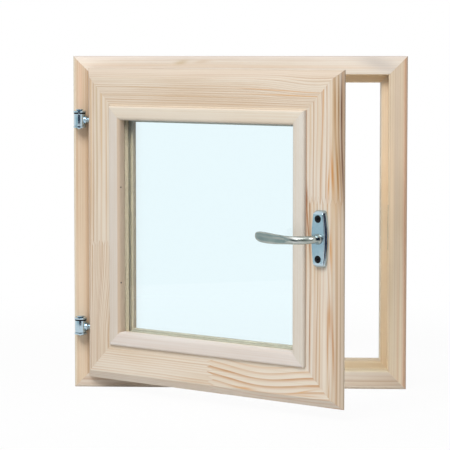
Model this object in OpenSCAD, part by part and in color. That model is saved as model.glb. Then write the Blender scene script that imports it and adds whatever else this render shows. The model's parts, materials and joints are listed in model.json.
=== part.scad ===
// Small timber casement window: a mitred pine frame, a side-hung sash with a sealed
// double-glazed unit held by beads, two eyebolt hinges and a lever handle that turns
// a tongue into a strike plate in the lock jamb.
//
// Axes: X to the right seen from the room, Y away from the room, Z up.
// Origin: centre of the frame's underside.

/* [Frame] */
// Outside width of the frame
frame_w = 390; // [330:10:900]
// Outside height of the frame
frame_h = 390; // [330:10:900]
// Depth of the frame from room face to wall side
frame_depth = 44; // [38:1:80]
// Width of the room face, from outer edge to rebate
frame_face = 22; // [20:0.5:32]
// How far the stop stands into the opening past the rebate
stop_reach = 9; // [7:0.5:14]
// Round on the long outer edges of the frame
frame_round = 3.5; // [1:0.5:5]
// Round on the edges around the opening
opening_round = 2.5; // [1:0.5:3]

/* [Sash] */
// Angle the sash stands open at
sash_open = 35; // [0:5:105]
// How far the sash flange laps over the frame's face
flange_lap = 8; // [7:0.5:10]
// Thickness of the flange
flange_t = 12; // [11.5:0.5:14]
// Width of the 45 degree bevel on the flange's edge
flange_bevel = 10; // [8:0.5:10.5]
// Gap between flange and frame face when closed
flange_gap = 1; // [0.5:0.1:1.5]
// Clearance between the sash and the rebate around it
side_clear = 1.5; // [1.2:0.1:2.5]
// Total thickness of the sash
sash_t = 27.5; // [27:0.5:32]
// Width of the sash members' front face, flange edge to glazing rebate
stile_w = 43; // [40:0.5:55]
// Thickness of the glazing lip behind the glass
lip_t = 6.5; // [6:0.5:9]
// How far the glazing lip reaches inwards
lip_reach = 18.5; // [15:0.5:19]
// Round on the sash's rear outer edge
sash_round = 3; // [1:0.5:4]
// Round on small edges of the sash
edge_round = 1.5; // [0.5:0.25:2]
// Space for the seal between the closed sash and the stop
seal_space = 3; // [2.5:0.25:4]
// Width of the seal strip
seal_w = 4.5; // [3:0.25:4.5]
// Thickness of the seal strip's base
seal_base_t = 1; // [0.6:0.1:1.4]
// Gap left between the seal and the stop when closed
seal_gap = 0.4; // [0.3:0.1:0.8]

/* [Glazing] */
// Thickness of each pane
pane_t = 4; // [3:0.5:4]
// Cavity between the panes
cavity = 6; // [5:0.5:6]
// Edge gap between the glass unit and the sash
glass_gap = 2; // [1.5:0.25:3]
// Width of the sealant outside the spacer bar
sealant_w = 4.5; // [3:0.5:5]
// Width of the spacer bar
spacer_w = 8.5; // [5:0.5:9]
// Thickness of the tape in front of the glass
front_tape = 0.5; // [0.3:0.1:1]
// Thickness of the tape behind the glass
rear_tape = 1; // [0.5:0.25:1.5]
// Width of the glazing beads
bead_w = 16; // [12:0.5:17]
// How far the beads stand out of the sash face
bead_proud = 4.5; // [3:0.5:6]
// Round on the beads' inner edge
bead_round_in = 4.5; // [2:0.5:6]
// Round on the beads' outer edge
bead_round_out = 2.5; // [1:0.5:3]
// Distance between the two brads of a bead
brad_spacing = 110; // [60:10:160]
// How far the side beads' brads sit below the middle
brad_drop = 14; // [0:1:20]
// Length of a setting block
block_l = 30; // [20:5:50]
// Distance between the setting blocks
block_spacing = 160; // [80:10:180]

/* [Hinges] */
// Height of each hinge's middle from the frame's end
hinge_end = 74; // [62:1:110]
// How far the pivot lies outside the flange's edge
pivot_side = 5; // [4.5:0.5:7]
// How far the pivot lies behind the sash's face
pivot_inset = 0.5; // [0:0.25:2]
// Diameter of the hinge pin
pin_d = 5; // [4:0.25:6]
// Diameter of the pin's head
pin_head_d = 9; // [7:0.5:10]
// Thickness of the pin's head
pin_head_t = 2; // [1:0.25:3]
// Length of pin below the lower ear
pin_tail = 1.6; // [1:0.2:3]
// Diameter of the eyebolt's barrel
barrel_d = 13.4; // [10:0.2:14]
// Height of the eyebolt's barrel
barrel_h = 14; // [11:0.5:16]
// Gap between barrel and lower ear
barrel_gap_low = 0.3; // [0.2:0.1:0.8]
// Gap between barrel and upper ear
barrel_gap_high = 1.6; // [0.2:0.1:2]
// Thickness of the bracket's ears
ear_t = 1.8; // [1.4:0.2:3]
// Radius of the ears around the pin
ear_r = 7.3; // [6.5:0.1:7.5]
// Thickness of the bracket's base plate
base_t = 2.5; // [2:0.25:3]
// Distance from the frame's edge to the bracket's base
base_edge = 2; // [1:0.25:3]
// Gap from the base to the sash flange
base_clear = 1; // [0.8:0.1:2]
// Diameter of the eyebolt's stud
stud_d = 7.5; // [6:0.25:7.5]
// Length of the stud from the pivot to its tip
stud_l = 36; // [25:1:38]
// Slope of the stud into the sash
stud_angle = 25; // [20:1:26]
// Diameter of the collar beside the barrel
collar_d = 9.4; // [8.5:0.1:10]
// Thickness of the collar beside the barrel
collar_t = 2; // [1:0.25:2.5]
// Diameter of the bracket's wood screw
bracket_screw_d = 5; // [4:0.25:5]
// Length of the bracket's wood screw
bracket_screw_l = 30; // [20:1:35]

/* [Handle] */
// Distance from the flange's edge to the handle's axis
handle_edge = 22; // [20:0.5:23]
// How far the handle's axis sits above the sash's middle
handle_rise = 2; // [0:0.5:20]
// Height of the handle plate
plate_h = 61; // [56:1:70]
// Width of the handle plate at its middle
plate_w = 18.5; // [17:0.5:20]
// Width of the handle plate near its ends
plate_end_w = 12.5; // [11:0.5:14]
// Thickness of the handle plate
plate_t = 7.5; // [6.5:0.5:9]
// Round on the plate's corners
plate_corner = 3.5; // [2:0.5:4.5]
// Inset of the plate's face from its base, each side
plate_draft = 1.5; // [0.5:0.25:2]
// Distance between the two plate screws
screw_spacing = 43; // [40:1:46]
// Shank diameter of the plate screws
plate_screw_d = 4; // [3:0.25:4]
// Length of the plate screws
plate_screw_l = 22; // [16:1:23]
// Diameter of the lever's bearing neck in the plate
bearing_d = 10; // [9.5:0.25:10.5]
// Diameter of the collar on the plate's face
rose_d = 11.6; // [11:0.2:13]
// Thickness of the collar on the plate's face
rose_t = 1.4; // [1:0.2:2]
// Diameter of the neck in front of the collar
neck_d = 8.5; // [7:0.25:9]
// Distance from sash face to the lever's centre line
lever_stand = 21; // [18:0.5:30]
// Length of the lever from its axis
lever_l = 73; // [60:1:90]
// Height of the lever's bar
bar_h = 9; // [6:0.2:10]
// Thickness of the lever's bar
bar_t = 7.2; // [6:0.2:8]
// Height of the lever's paddle
paddle_h = 11.6; // [9:0.2:14]
// Thickness of the lever's paddle
paddle_t = 4.4; // [3:0.2:6]
// Rise of the lever's tip above its axis
tip_rise = 0.9; // [0:0.1:6]
// Sag of the lever's bar between axis and tip
bar_sag = 7.2; // [0:0.1:8]
// Thickness of the retaining ring
ring_t = 0.9; // [0.7:0.1:1.2]
// Outside diameter of the retaining ring
ring_d = 12.6; // [11.8:0.2:13]
// Width across the square spindle
spindle_w = 5; // [4:0.25:5]

/* [Latch] */
// Length of the tongue from its axis
tongue_l = 22; // [20:0.5:23]
// Width of the tongue
tongue_w = 10; // [8:0.5:11]
// Thickness of the tongue
tongue_t = 3; // [2:0.25:3.25]
// Depth of the tongue behind the sash's face
tongue_inset = 19; // [18.5:0.1:19.2]
// Thickness of the strike plate
strike_t = 1.5; // [1:0.25:2]
// Width of the strike plate
strike_w = 12; // [10:0.5:12]
// Length of strike plate beyond each end of its slot
strike_end = 14; // [12:0.5:18]
// Diameter of the strike plate's screws
strike_screw_d = 3.5; // [3:0.25:4]
// Length of the strike plate's screws
strike_screw_l = 14; // [10:0.5:16]

/* [Joinery and fits] */
// Diameter of the corner dowels
dowel_d = 8; // [6:0.5:8]
// Length of the frame's corner dowels
frame_dowel_l = 26; // [20:1:27]
// Length of the sash's corner dowels
sash_dowel_l = 30; // [20:1:31]
// Diameter of the beads' brads
brad_d = 1.4; // [1.2:0.1:1.6]
// Length of the beads' brads
brad_l = 20.5; // [15:0.5:21]
// Slope of the brads into the sash
brad_angle = 20; // [16:1:22]
// Radial clearance of turning parts
run_clear = 0.05; // [0.02:0.01:0.09]
// Radial clearance around fixed hardware
fix_clear = 0.05; // [0.02:0.01:0.1]
// Clearance around the tongue in its slots
slot_clear = 0.8; // [0.4:0.1:0.8]
// Depth of the strike's pocket past the tongue's tip
keep_spare = 2.5; // [1:0.5:4]

/* [Hidden] */

pine = "#e3d2bd";
bead_pine = "#dccfc3";
zinc = "#8fa3b3";
steel = "#a9b0a8";
black = "#15161a";
glass_tint = "#e6f6fe";
aluminium = "#b9b6ae";
rubber = "#3a3530";

$fn = 48;
ARC_STEPS = 5;   // straight steps in a rounded wooden edge
EPS = 0.01;
OVER = 1;        // how far cutting shapes run past what they cut

// Frame and sash outlines
front_y = -frame_depth / 2;
margin = frame_face - flange_lap;              // frame edge to flange edge
sash_w = frame_w - 2 * margin;
sash_h = frame_h - 2 * margin;
sash_front_y = front_y - flange_gap - flange_t;
rear_inset = flange_lap + side_clear;          // flange edge to the sash's rear part
rebate_depth = sash_t - flange_t - flange_gap + seal_space;
stop_w = frame_face + stop_reach;

// Depths behind the sash's face
lip_v = sash_t - lip_t;
glass_rear_v = lip_v - rear_tape;
glass_front_v = glass_rear_v - 2 * pane_t - cavity;
bead_rear_v = glass_front_v - front_tape;

// Distances from the flange's edge
glass_u = stile_w + glass_gap;
spacer_u = glass_u + sealant_w;
lip_u = stile_w + lip_reach;
bead_u = stile_w + bead_w;

seal_u = (rear_inset + sash_round + flange_lap + stop_reach) / 2;

// Pivot of the sash
pivot_x = -frame_w / 2 + margin - pivot_side;
pivot_y = sash_front_y + pivot_inset;
hinge_z = [hinge_end, frame_h - hinge_end];
inner_h = barrel_gap_low + barrel_h + barrel_gap_high;   // between the ears
base_x0 = -frame_w / 2 + base_edge;
base_x1 = -frame_w / 2 + margin - base_clear;

// Handle and latch
axis_z = sash_h / 2 + handle_rise;
ring_room = 0.6;                               // beside the ring, each side
ring_room_r = 0.8;                             // around the ring
ring_gap = 0.15;                               // ring's face to the recess floor
ring_jaw = 1;                                  // ring's grip at each side of its opening
groove_depth = 0.8;
recess_depth = ring_t + 2 * ring_room;
recess_d = ring_d + 2 * ring_room_r;
groove_d = bearing_d - 2 * groove_depth;
rose_gap = 0.3;                                // plate's face to the collar
neck_start = 0.6;                              // neck's inner end in front of the plate's back
socket_short = 1;                              // spindle's socket ends behind the plate's face
socket_v = socket_short - plate_t;
slot_v = [tongue_inset - slot_clear / 2, tongue_inset + tongue_t + slot_clear / 2];
spindle_past = 2;                              // spindle's end past the tongue's slot
spindle_end_v = slot_v[1] + spindle_past;
spindle_room = 1.25;                           // around the turning spindle's corners
spindle_bore_d = spindle_w * sqrt(2) + 2 * spindle_room;
spindle_bore_past = 0.5;                       // bore's end past the spindle's end
rear_edge = handle_edge - rear_inset;          // axis to the sash's rear edge
tongue_tip_r = norm([tongue_l, tongue_w / 2]);
hub_wall = 3;                                  // metal outside the corners of the square hole
hub_r = spindle_w / sqrt(2) + hub_wall;
strike_x = frame_w / 2 - frame_face;
slot_low = -sqrt(pow(tongue_tip_r, 2) - pow(rear_edge, 2)) - slot_clear;
slot_high = tongue_w / 2 + slot_clear;
strike_y = sash_front_y + tongue_inset + tongue_t / 2;
strike_slot_w = tongue_t + 2 * slot_clear;
strike_span = [slot_low - strike_end, slot_high + strike_end];
strike_screw_z = [strike_span[0] + strike_end / 2, strike_span[1] - strike_end / 2];
keep_depth = tongue_tip_r - (margin + handle_edge - frame_face) + keep_spare;
axis_zf = frame_h / 2 + handle_rise;           // handle's height in the frame

// Corner joints
frame_dowel_u = stop_w / 2;
frame_dowel_y = (rebate_depth + frame_depth) / 2;
sash_dowel_u = (rear_inset + stile_w) / 2;
sash_dowel_forward = 2;                        // clears the brads' tips
sash_dowel_v = (flange_t + lip_v) / 2 - sash_dowel_forward;

// Brads' heads below the bead's rounded edge
brad_sink_u = 0.4;
brad_sink_v = 0.9;
brad_hole_run = 4;                             // hole in front of the head

// Screws, by shank diameter
head_ratio = 1.9;
head_land = 0.3;                               // straight edge of the head
point_ratio = 0.8;                             // length of the point
socket_ratio = 0.6;                            // width of the hexagon socket
socket_depth_ratio = 0.4;

// Lever, by fraction of its length from the axis
PADDLE_RATIO = [0.36, 0.8];                    // where the bar widens to the paddle
THIN_RATIO = [0.3, 0.6];                       // where the bar thins to the paddle
TIP_RATIO = 0.84;                              // where the tip starts to close
TIP_POWER_RATIO = 2.4;                         // 2 is an ellipse, more is squarer
LEVER_RINGS = 28;
LEVER_SIDES = 24;

// ---------------------------------------------------------------- outlines

// Points of the arc that rounds corner p between its neighbours a and b
function corner_arc(a, p, b, r) =
    r <= 0 ? [p] :
    let (
        to_a = (a - p) / norm(a - p),
        to_b = (b - p) / norm(b - p),
        half = acos(to_a * to_b) / 2,
        reach = r / tan(half),
        centre = p + (to_a + to_b) / norm(to_a + to_b) * r / sin(half),
        from = p + to_a * reach - centre,
        to = p + to_b * reach - centre,
        start = atan2(from.y, from.x),
        turn = atan2(from.x * to.y - from.y * to.x, from * to)
    )
    [for (i = [0:ARC_STEPS]) centre + r * [cos(start + turn * i / ARC_STEPS),
                                           sin(start + turn * i / ARC_STEPS)]];

// Outline through corners given as [x, y, radius]
function rounded(corners) =
    let (n = len(corners))
    [for (i = [0:n - 1])
        let (
            a = corners[(i + n - 1) % n],
            p = corners[i],
            b = corners[(i + 1) % n]
        )
        each corner_arc([a.x, a.y], [p.x, p.y], [b.x, b.y], p.z)];

// ---------------------------------------------------------------- placing

// Lays a section (x = depth, y = distance inwards) along X, mitred at both ends
module mitred_bar(length, from_u, to_u, depth_low, depth_high) {
    intersection() {
        rotate([90, 0, 90])
            linear_extrude(length, center = true) children();
        translate([0, depth_high + OVER, 0])
            rotate([90, 0, 0])
                linear_extrude(depth_high - depth_low + 2 * OVER)
                    polygon([
                        [-length / 2 + from_u, from_u], [length / 2 - from_u, from_u],
                        [length / 2 - to_u, to_u], [-length / 2 + to_u, to_u]
                    ]);
    }
}

// Moves a bar that lies along the bottom edge to one side of a w by h rectangle
module on_side(side, w, h) {
    if (side == "bottom")
        children();
    if (side == "top")
        translate([0, 0, h]) mirror([0, 0, 1]) children();
    if (side == "left")
        translate([-w / 2, 0, h / 2]) rotate([0, 90, 0]) children();
    if (side == "right")
        translate([w / 2, 0, h / 2]) rotate([0, -90, 0]) children();
}

// Puts what is modelled on the closed sash where the open sash holds it.
// Inside, the origin is the bottom centre of the sash's front face.
module in_sash() {
    translate([pivot_x, pivot_y, 0])
        rotate([0, 0, -sash_open])
            translate([-pivot_x, sash_front_y - pivot_y, margin]) children();
}

// Repeats a child at the four corners of a w by h rectangle, turned to each corner
module at_corners(w, h) {
    for (side = [-1, 1])
        translate([side * w / 2, 0, 0])
            mirror([side > 0 ? 1 : 0, 0, 0]) {
                children();
                translate([0, 0, h]) mirror([0, 0, 1]) children();
            }
}

module at_handle_axis() {
    translate([sash_w / 2 - handle_edge, 0, axis_z]) children();
}

module at_strike() {
    translate([strike_x, strike_y, axis_zf]) children();
}

// ---------------------------------------------------------------- fasteners

// Countersunk screw along +Z with its head's top at z = 0 pointing down to -Z
module countersunk_screw(d, length, clear = 0) {
    head_r = d * head_ratio / 2;
    rotate_extrude() polygon([
        [0, 0], [head_r + clear, 0], [head_r + clear, -head_land - clear],
        [d / 2 + clear, -head_land - clear - (head_r - d / 2)],
        [d / 2 + clear, -length + d * point_ratio], [0, -length - 2 * clear]
    ]);
}

// Hexagon socket in the head of a screw of shank d
module hex_socket(d) {
    depth = d * socket_depth_ratio;
    translate([0, 0, -depth])
        cylinder(d = d * socket_ratio / cos(30), h = depth + OVER, $fn = 6);
}

// Dowel that crosses a mitre squarely, u from both edges
module cross_dowel(d, length, u, y, clear = 0) {
    translate([u, y, u])
        rotate([0, 135, 0])
            cylinder(d = d + 2 * clear, h = length + 4 * clear, center = true);
}

// ---------------------------------------------------------------- frame

module frame_section() {
    polygon(rounded([
        [0, 0, frame_round],
        [frame_depth, 0, frame_round],
        [frame_depth, stop_w, opening_round],
        [rebate_depth, stop_w, opening_round],
        [rebate_depth, frame_face, 0],
        [0, frame_face, opening_round]
    ]));
}

module frame_bar(length) {
    translate([0, front_y, 0])
        mitred_bar(length, 0, stop_w, 0, frame_depth) frame_section();
}

module frame_dowels(clear = 0) {
    at_corners(frame_w, frame_h)
        cross_dowel(dowel_d, frame_dowel_l, frame_dowel_u, front_y + frame_dowel_y, clear);
}

module frame_left_jamb() {
    color(pine) difference() {
        on_side("left", frame_w, frame_h) frame_bar(frame_h);
        frame_dowels(fix_clear);
        bracket_screws(fix_clear);
    }
}

module frame_right_jamb() {
    color(pine) difference() {
        on_side("right", frame_w, frame_h) frame_bar(frame_h);
        frame_dowels(fix_clear);
        at_strike() {
            strike_body(fix_clear);
            keep_pocket(keep_depth);
        }
        strike_fixings(fix_clear);
    }
}

module frame_head() {
    color(pine) difference() {
        on_side("top", frame_w, frame_h) frame_bar(frame_w);
        frame_dowels(fix_clear);
    }
}

module frame_sill() {
    color(pine) difference() {
        frame_bar(frame_w);
        frame_dowels(fix_clear);
    }
}

module frame_corner_dowels() {
    color(pine) frame_dowels();
}

// ---------------------------------------------------------------- strike plate

// Plate let into the jamb's rebate face, from x = 0 into the wood
module strike_body(clear = 0) {
    translate([-(clear > 0 ? OVER : 0), -strike_w / 2 - clear, strike_span[0] - clear])
        cube([strike_t + (clear > 0 ? OVER : 0), strike_w + 2 * clear,
              strike_span[1] - strike_span[0] + 2 * clear]);
}

module keep_pocket(depth) {
    translate([-OVER, -strike_slot_w / 2, slot_low])
        cube([depth + OVER, strike_slot_w, slot_high - slot_low]);
}

module at_strike_screws() {
    for (z = strike_screw_z)
        at_strike() translate([0, 0, z]) rotate([0, -90, 0]) children();
}

module strike_fixings(clear = 0) {
    at_strike_screws() countersunk_screw(strike_screw_d, strike_screw_l, clear);
}

module strike_plate() {
    color(zinc) difference() {
        at_strike() difference() {
            strike_body();
            keep_pocket(strike_t + OVER);
        }
        strike_fixings(fix_clear);
    }
}

module strike_screws() {
    color(zinc) difference() {
        strike_fixings();
        at_strike_screws() hex_socket(strike_screw_d);
    }
}

// ---------------------------------------------------------------- sash

module sash_section() {
    polygon(rounded([
        [0, flange_bevel, edge_round],
        [flange_bevel, 0, edge_round / 2],
        [flange_t, 0, edge_round / 2],
        [flange_t, rear_inset, 0],
        [sash_t, rear_inset, sash_round],
        [sash_t, lip_u, edge_round],
        [lip_v, lip_u, edge_round],
        [lip_v, stile_w, 0],
        [0, stile_w, edge_round / 2]
    ]));
}

module sash_bar(length) {
    mitred_bar(length, 0, lip_u, 0, sash_t) sash_section();
}

module sash_dowels(clear = 0) {
    at_corners(sash_w, sash_h)
        cross_dowel(dowel_d, sash_dowel_l, sash_dowel_u, sash_dowel_v, clear);
}

module sash_side(side) {
    difference() {
        on_side(side, sash_w, sash_h) sash_bar(side == "left" || side == "right" ? sash_h : sash_w);
        sash_dowels(fix_clear);
        brads_on(side, fix_clear);
    }
}

module sash_hinge_stile() {
    color(pine) in_sash() difference() {
        sash_side("left");
        eyebolt_studs(fix_clear);
    }
}

module sash_lock_stile() {
    color(pine) in_sash() difference() {
        sash_side("right");
        plate_screws(fix_clear);
        at_handle_axis() {
            rotate([-90, 0, 0])
                translate([0, 0, -OVER])
                    cylinder(d = spindle_bore_d, h = OVER + spindle_end_v + spindle_bore_past);
            tongue_mortise();
        }
    }
}

// Slot cut in from the stile's rear edge for the tongue
module tongue_mortise() {
    translate([-hub_r - slot_clear, slot_v[0], -tongue_tip_r - slot_clear])
        cube([hub_r + slot_clear + rear_edge + OVER, slot_v[1] - slot_v[0],
              tongue_tip_r + hub_r + 2 * slot_clear]);
}

module sash_top_rail() {
    color(pine) in_sash() sash_side("top");
}

module sash_bottom_rail() {
    color(pine) in_sash() sash_side("bottom");
}

module sash_corner_dowels() {
    color(pine) in_sash() sash_dowels();
}

// Rectangular ring, u_out to u_in from the flange's edge and v_front to v_rear deep
module sash_ring(u_out, u_in, v_front, v_rear) {
    translate([0, v_rear, 0]) rotate([90, 0, 0])
        linear_extrude(v_rear - v_front) difference() {
            translate([-sash_w / 2 + u_out, u_out]) square([sash_w - 2 * u_out, sash_h - 2 * u_out]);
            translate([-sash_w / 2 + u_in, u_in]) square([sash_w - 2 * u_in, sash_h - 2 * u_in]);
        }
}

module sash_seal() {
    color(rubber) in_sash() {
        sash_ring(seal_u - seal_w / 2, seal_u + seal_w / 2, sash_t, sash_t + seal_base_t);
        sash_ring(seal_u - seal_w / 4, seal_u + seal_w / 4, sash_t + seal_base_t - EPS,
                  sash_t + seal_space - seal_gap);
    }
}

// ---------------------------------------------------------------- glazing

module pane(front_v) {
    translate([-sash_w / 2 + glass_u, front_v, glass_u])
        cube([sash_w - 2 * glass_u, pane_t, sash_h - 2 * glass_u]);
}

module front_pane() {
    color(glass_tint, 0.35) in_sash() pane(glass_front_v);
}

module rear_pane() {
    color(glass_tint, 0.35) in_sash() pane(glass_rear_v - pane_t);
}

module spacer_bar() {
    color(aluminium) in_sash()
        sash_ring(spacer_u, spacer_u + spacer_w, glass_front_v + pane_t, glass_rear_v - pane_t);
}

module edge_sealant() {
    color(rubber) in_sash()
        sash_ring(glass_u, spacer_u, glass_front_v + pane_t, glass_rear_v - pane_t);
}

module front_glazing_tape() {
    color(rubber) in_sash() sash_ring(glass_u, spacer_u + spacer_w, bead_rear_v, glass_front_v);
}

module rear_glazing_tape() {
    color(rubber) in_sash() sash_ring(glass_u, spacer_u + spacer_w, glass_rear_v, lip_v);
}

module setting_blocks() {
    color(rubber) in_sash()
        for (side = [-1, 1])
            translate([side * block_spacing / 2 - block_l / 2, glass_front_v, stile_w])
                cube([block_l, glass_rear_v - glass_front_v, glass_gap]);
}

module bead_section() {
    polygon(rounded([
        [-bead_proud, stile_w, bead_round_out],
        [bead_rear_v, stile_w, 0],
        [bead_rear_v, bead_u, 0],
        [-bead_proud, bead_u, bead_round_in]
    ]));
}

module bead(side) {
    color(bead_pine) in_sash() difference() {
        on_side(side, sash_w, sash_h)
            mitred_bar(side == "left" || side == "right" ? sash_h : sash_w,
                       stile_w, bead_u, -bead_proud, bead_rear_v) bead_section();
        brads_on(side, fix_clear);
    }
}

module bead_left() { bead("left"); }
module bead_right() { bead("right"); }
module bead_top() { bead("top"); }
module bead_bottom() { bead("bottom"); }

// Two brads driven from the bead's inner round down into the sash
module brads_on(side, clear = 0) {
    drop = side == "left" ? brad_drop : side == "right" ? -brad_drop : 0;
    start_u = bead_u - bead_round_in * (1 - cos(45)) - brad_sink_u;
    start_v = -bead_proud + bead_round_in * (1 - sin(45)) + brad_sink_v;
    run = clear > 0 ? brad_hole_run : 0;
    on_side(side, sash_w, sash_h)
        for (x = [-brad_spacing / 2, brad_spacing / 2])
            translate([x + drop, start_v, start_u])
                rotate([180 + brad_angle, 0, 0])
                    translate([0, 0, -run])
                        cylinder(d = brad_d + 2 * clear, h = run + brad_l + 2 * clear, $fn = 24);
}

module bead_brads() {
    color(zinc) in_sash()
        for (side = ["left", "right", "top", "bottom"]) brads_on(side);
}

// ---------------------------------------------------------------- hinges

module ear_outline() {
    translate([pivot_x, pivot_y]) circle(r = ear_r);
    translate([base_x0, pivot_y]) square([base_x1 - base_x0, front_y - pivot_y]);
}

module bracket(z) {
    low = z - barrel_h / 2 - barrel_gap_low;
    color(zinc) difference() {
        union() {
            for (floor_z = [low - ear_t, low + inner_h])
                translate([0, 0, floor_z]) linear_extrude(ear_t) ear_outline();
            translate([base_x0, front_y - base_t, low - ear_t])
                cube([base_x1 - base_x0, base_t, inner_h + 2 * ear_t]);
        }
        translate([pivot_x, pivot_y, low - ear_t - OVER])
            cylinder(d = pin_d + 2 * fix_clear, h = inner_h + 2 * ear_t + 2 * OVER);
        bracket_screws(fix_clear);
    }
}

module hinge_pin(z) {
    low = z - barrel_h / 2 - barrel_gap_low - ear_t;
    top = low + inner_h + 2 * ear_t;
    color(zinc) translate([pivot_x, pivot_y, 0]) {
        translate([0, 0, low - pin_tail]) cylinder(d = pin_d, h = top - low + pin_tail + EPS);
        translate([0, 0, top]) cylinder(d = pin_head_d, h = pin_head_t);
    }
}

// Studs of both eyebolts, from the barrel's middle into the hinge stile
module eyebolt_studs(clear = 0) {
    for (z = hinge_z) eyebolt_stud(z, clear);
}

module eyebolt_stud(z, clear = 0) {
    translate([-sash_w / 2 - pivot_side, pivot_inset, z - margin])
        rotate([0, 90, stud_angle])
            cylinder(d = stud_d + 2 * clear, h = stud_l + 2 * clear);
}

module eyebolt(z) {
    color(zinc) in_sash() difference() {
        union() {
            eyebolt_stud(z);
            translate([-sash_w / 2 - pivot_side, pivot_inset, z - margin]) {
                cylinder(d = barrel_d, h = barrel_h, center = true);
                rotate([0, 90, stud_angle])
                    cylinder(d = collar_d, h = barrel_d / 2 + collar_t);
            }
        }
        translate([-sash_w / 2 - pivot_side, pivot_inset, z - margin])
            cylinder(d = pin_d + 2 * run_clear, h = barrel_h + 2 * OVER, center = true);
    }
}

module at_bracket_screws() {
    for (z = hinge_z)
        translate([(base_x0 + base_x1) / 2, front_y - base_t, z])
            rotate([90, 0, 0]) children();
}

module bracket_screws(clear = 0) {
    at_bracket_screws() countersunk_screw(bracket_screw_d, bracket_screw_l, clear);
}

module hinge_top_bracket() { bracket(hinge_z[1]); }
module hinge_top_pin() { hinge_pin(hinge_z[1]); }
module hinge_top_eyebolt() { eyebolt(hinge_z[1]); }
module hinge_bottom_bracket() { bracket(hinge_z[0]); }
module hinge_bottom_pin() { hinge_pin(hinge_z[0]); }
module hinge_bottom_eyebolt() { eyebolt(hinge_z[0]); }

module hinge_screws() {
    color(zinc) difference() {
        bracket_screws();
        at_bracket_screws() hex_socket(bracket_screw_d);
    }
}

// ---------------------------------------------------------------- handle

// Outline of the plate: convex long sides and blunt, rounded ends
module plate_outline() {
    steps = 7;
    bulge = (plate_w - plate_end_w) / 2;
    side = [for (i = [-steps:steps])
        let (z = plate_h / 2 * i / steps)
        [plate_w / 2 - bulge * pow(i / steps, 2), z, abs(i) == steps ? plate_corner : 0]];
    polygon(rounded([
        each side,
        each [for (i = [len(side) - 1:-1:0]) [-side[i].x, side[i].y, side[i].z]]
    ]));
}

module at_plate_screws() {
    at_handle_axis()
        for (z = [-screw_spacing / 2, screw_spacing / 2])
            translate([0, -plate_t, z]) rotate([90, 0, 0]) children();
}

module plate_screws(clear = 0) {
    at_plate_screws() countersunk_screw(plate_screw_d, plate_screw_l, clear);
}

module handle_plate() {
    color(zinc) in_sash() difference() {
        at_handle_axis() rotate([90, 0, 0])
            linear_extrude(plate_t, slices = 1,
                           scale = [1 - 2 * plate_draft / plate_w, 1 - 2 * plate_draft / plate_h])
                plate_outline();
        plate_screws(fix_clear);
        at_handle_axis() rotate([90, 0, 0]) translate([0, 0, -OVER]) {
            cylinder(d = bearing_d + 2 * run_clear, h = plate_t + 2 * OVER);
            cylinder(d = recess_d, h = recess_depth + OVER);
        }
    }
}

module handle_screws() {
    color(black) in_sash() difference() {
        plate_screws();
        at_plate_screws() hex_socket(plate_screw_d);
    }
}

// Goes smoothly from 0 to 1 as t crosses the span
function blend(t, span) =
    let (k = min(1, max(0, (t - span[0]) / (span[1] - span[0])))) k * k * (3 - 2 * k);

// Lever's centre line, half height and half thickness at fraction t of its length
function tip_close(t) =
    let (k = max(0, (t - TIP_RATIO) / (1 - TIP_RATIO)))
    pow(max(0, 1 - pow(k, TIP_POWER_RATIO)), 1 / TIP_POWER_RATIO);
function lever_z(t) = tip_rise * pow(t, 3) - bar_sag * t * (1 - t);
function lever_half_h(t) = (bar_h + (paddle_h - bar_h) * blend(t, PADDLE_RATIO)) / 2 * tip_close(t);
function lever_half_t(t) = (bar_t + (paddle_t - bar_t) * blend(t, THIN_RATIO)) / 2 * tip_close(t);

// Lever's bar and paddle as one skin of elliptical rings along its centre line
module lever_blade() {
    fraction = [for (i = [0:LEVER_RINGS - 1]) sin(90 * i / LEVER_RINGS)];
    points = [
        each [for (t = fraction, k = [0:LEVER_SIDES - 1])
            let (a = 360 * k / LEVER_SIDES)
            [-lever_l * t, lever_half_t(t) * cos(a), lever_z(t) + lever_half_h(t) * sin(a)]],
        [-lever_l, 0, lever_z(1)]
    ];
    tip = LEVER_RINGS * LEVER_SIDES;
    last = tip - LEVER_SIDES;
    polyhedron(points, [
        [for (k = [LEVER_SIDES - 1:-1:0]) k],
        each [for (i = [0:LEVER_RINGS - 2], k = [0:LEVER_SIDES - 1])
            let (
                next = (k + 1) % LEVER_SIDES,
                low = i * LEVER_SIDES,
                high = low + LEVER_SIDES
            )
            [low + k, low + next, high + next, high + k]],
        each [for (k = [0:LEVER_SIDES - 1]) [last + k, last + (k + 1) % LEVER_SIDES, tip]]
    ], convexity = 4);
}

// The neck turns in the plate, carries the collar and ends in the lever
module handle_lever() {
    ring_v = recess_depth - ring_gap;
    rose_v = plate_t + rose_gap;
    color(steel) in_sash() at_handle_axis() difference() {
        union() {
            translate([0, -lever_stand, 0]) {
                lever_blade();
                sphere(d = neck_d);
            }
            rotate([90, 0, 0]) rotate_extrude() polygon([
                [0, neck_start], [bearing_d / 2, neck_start],
                [bearing_d / 2, ring_v - ring_t], [groove_d / 2, ring_v - ring_t],
                [groove_d / 2, ring_v], [bearing_d / 2, ring_v],
                [bearing_d / 2, rose_v], [rose_d / 2, rose_v],
                [rose_d / 2, rose_v + rose_t], [neck_d / 2, rose_v + rose_t],
                [neck_d / 2, lever_stand], [0, lever_stand]
            ]);
        }
        rotate([90, 0, 0]) translate([0, 0, -OVER])
            linear_extrude(-socket_v + OVER) square(spindle_w + 2 * fix_clear, center = true);
    }
}

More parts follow.
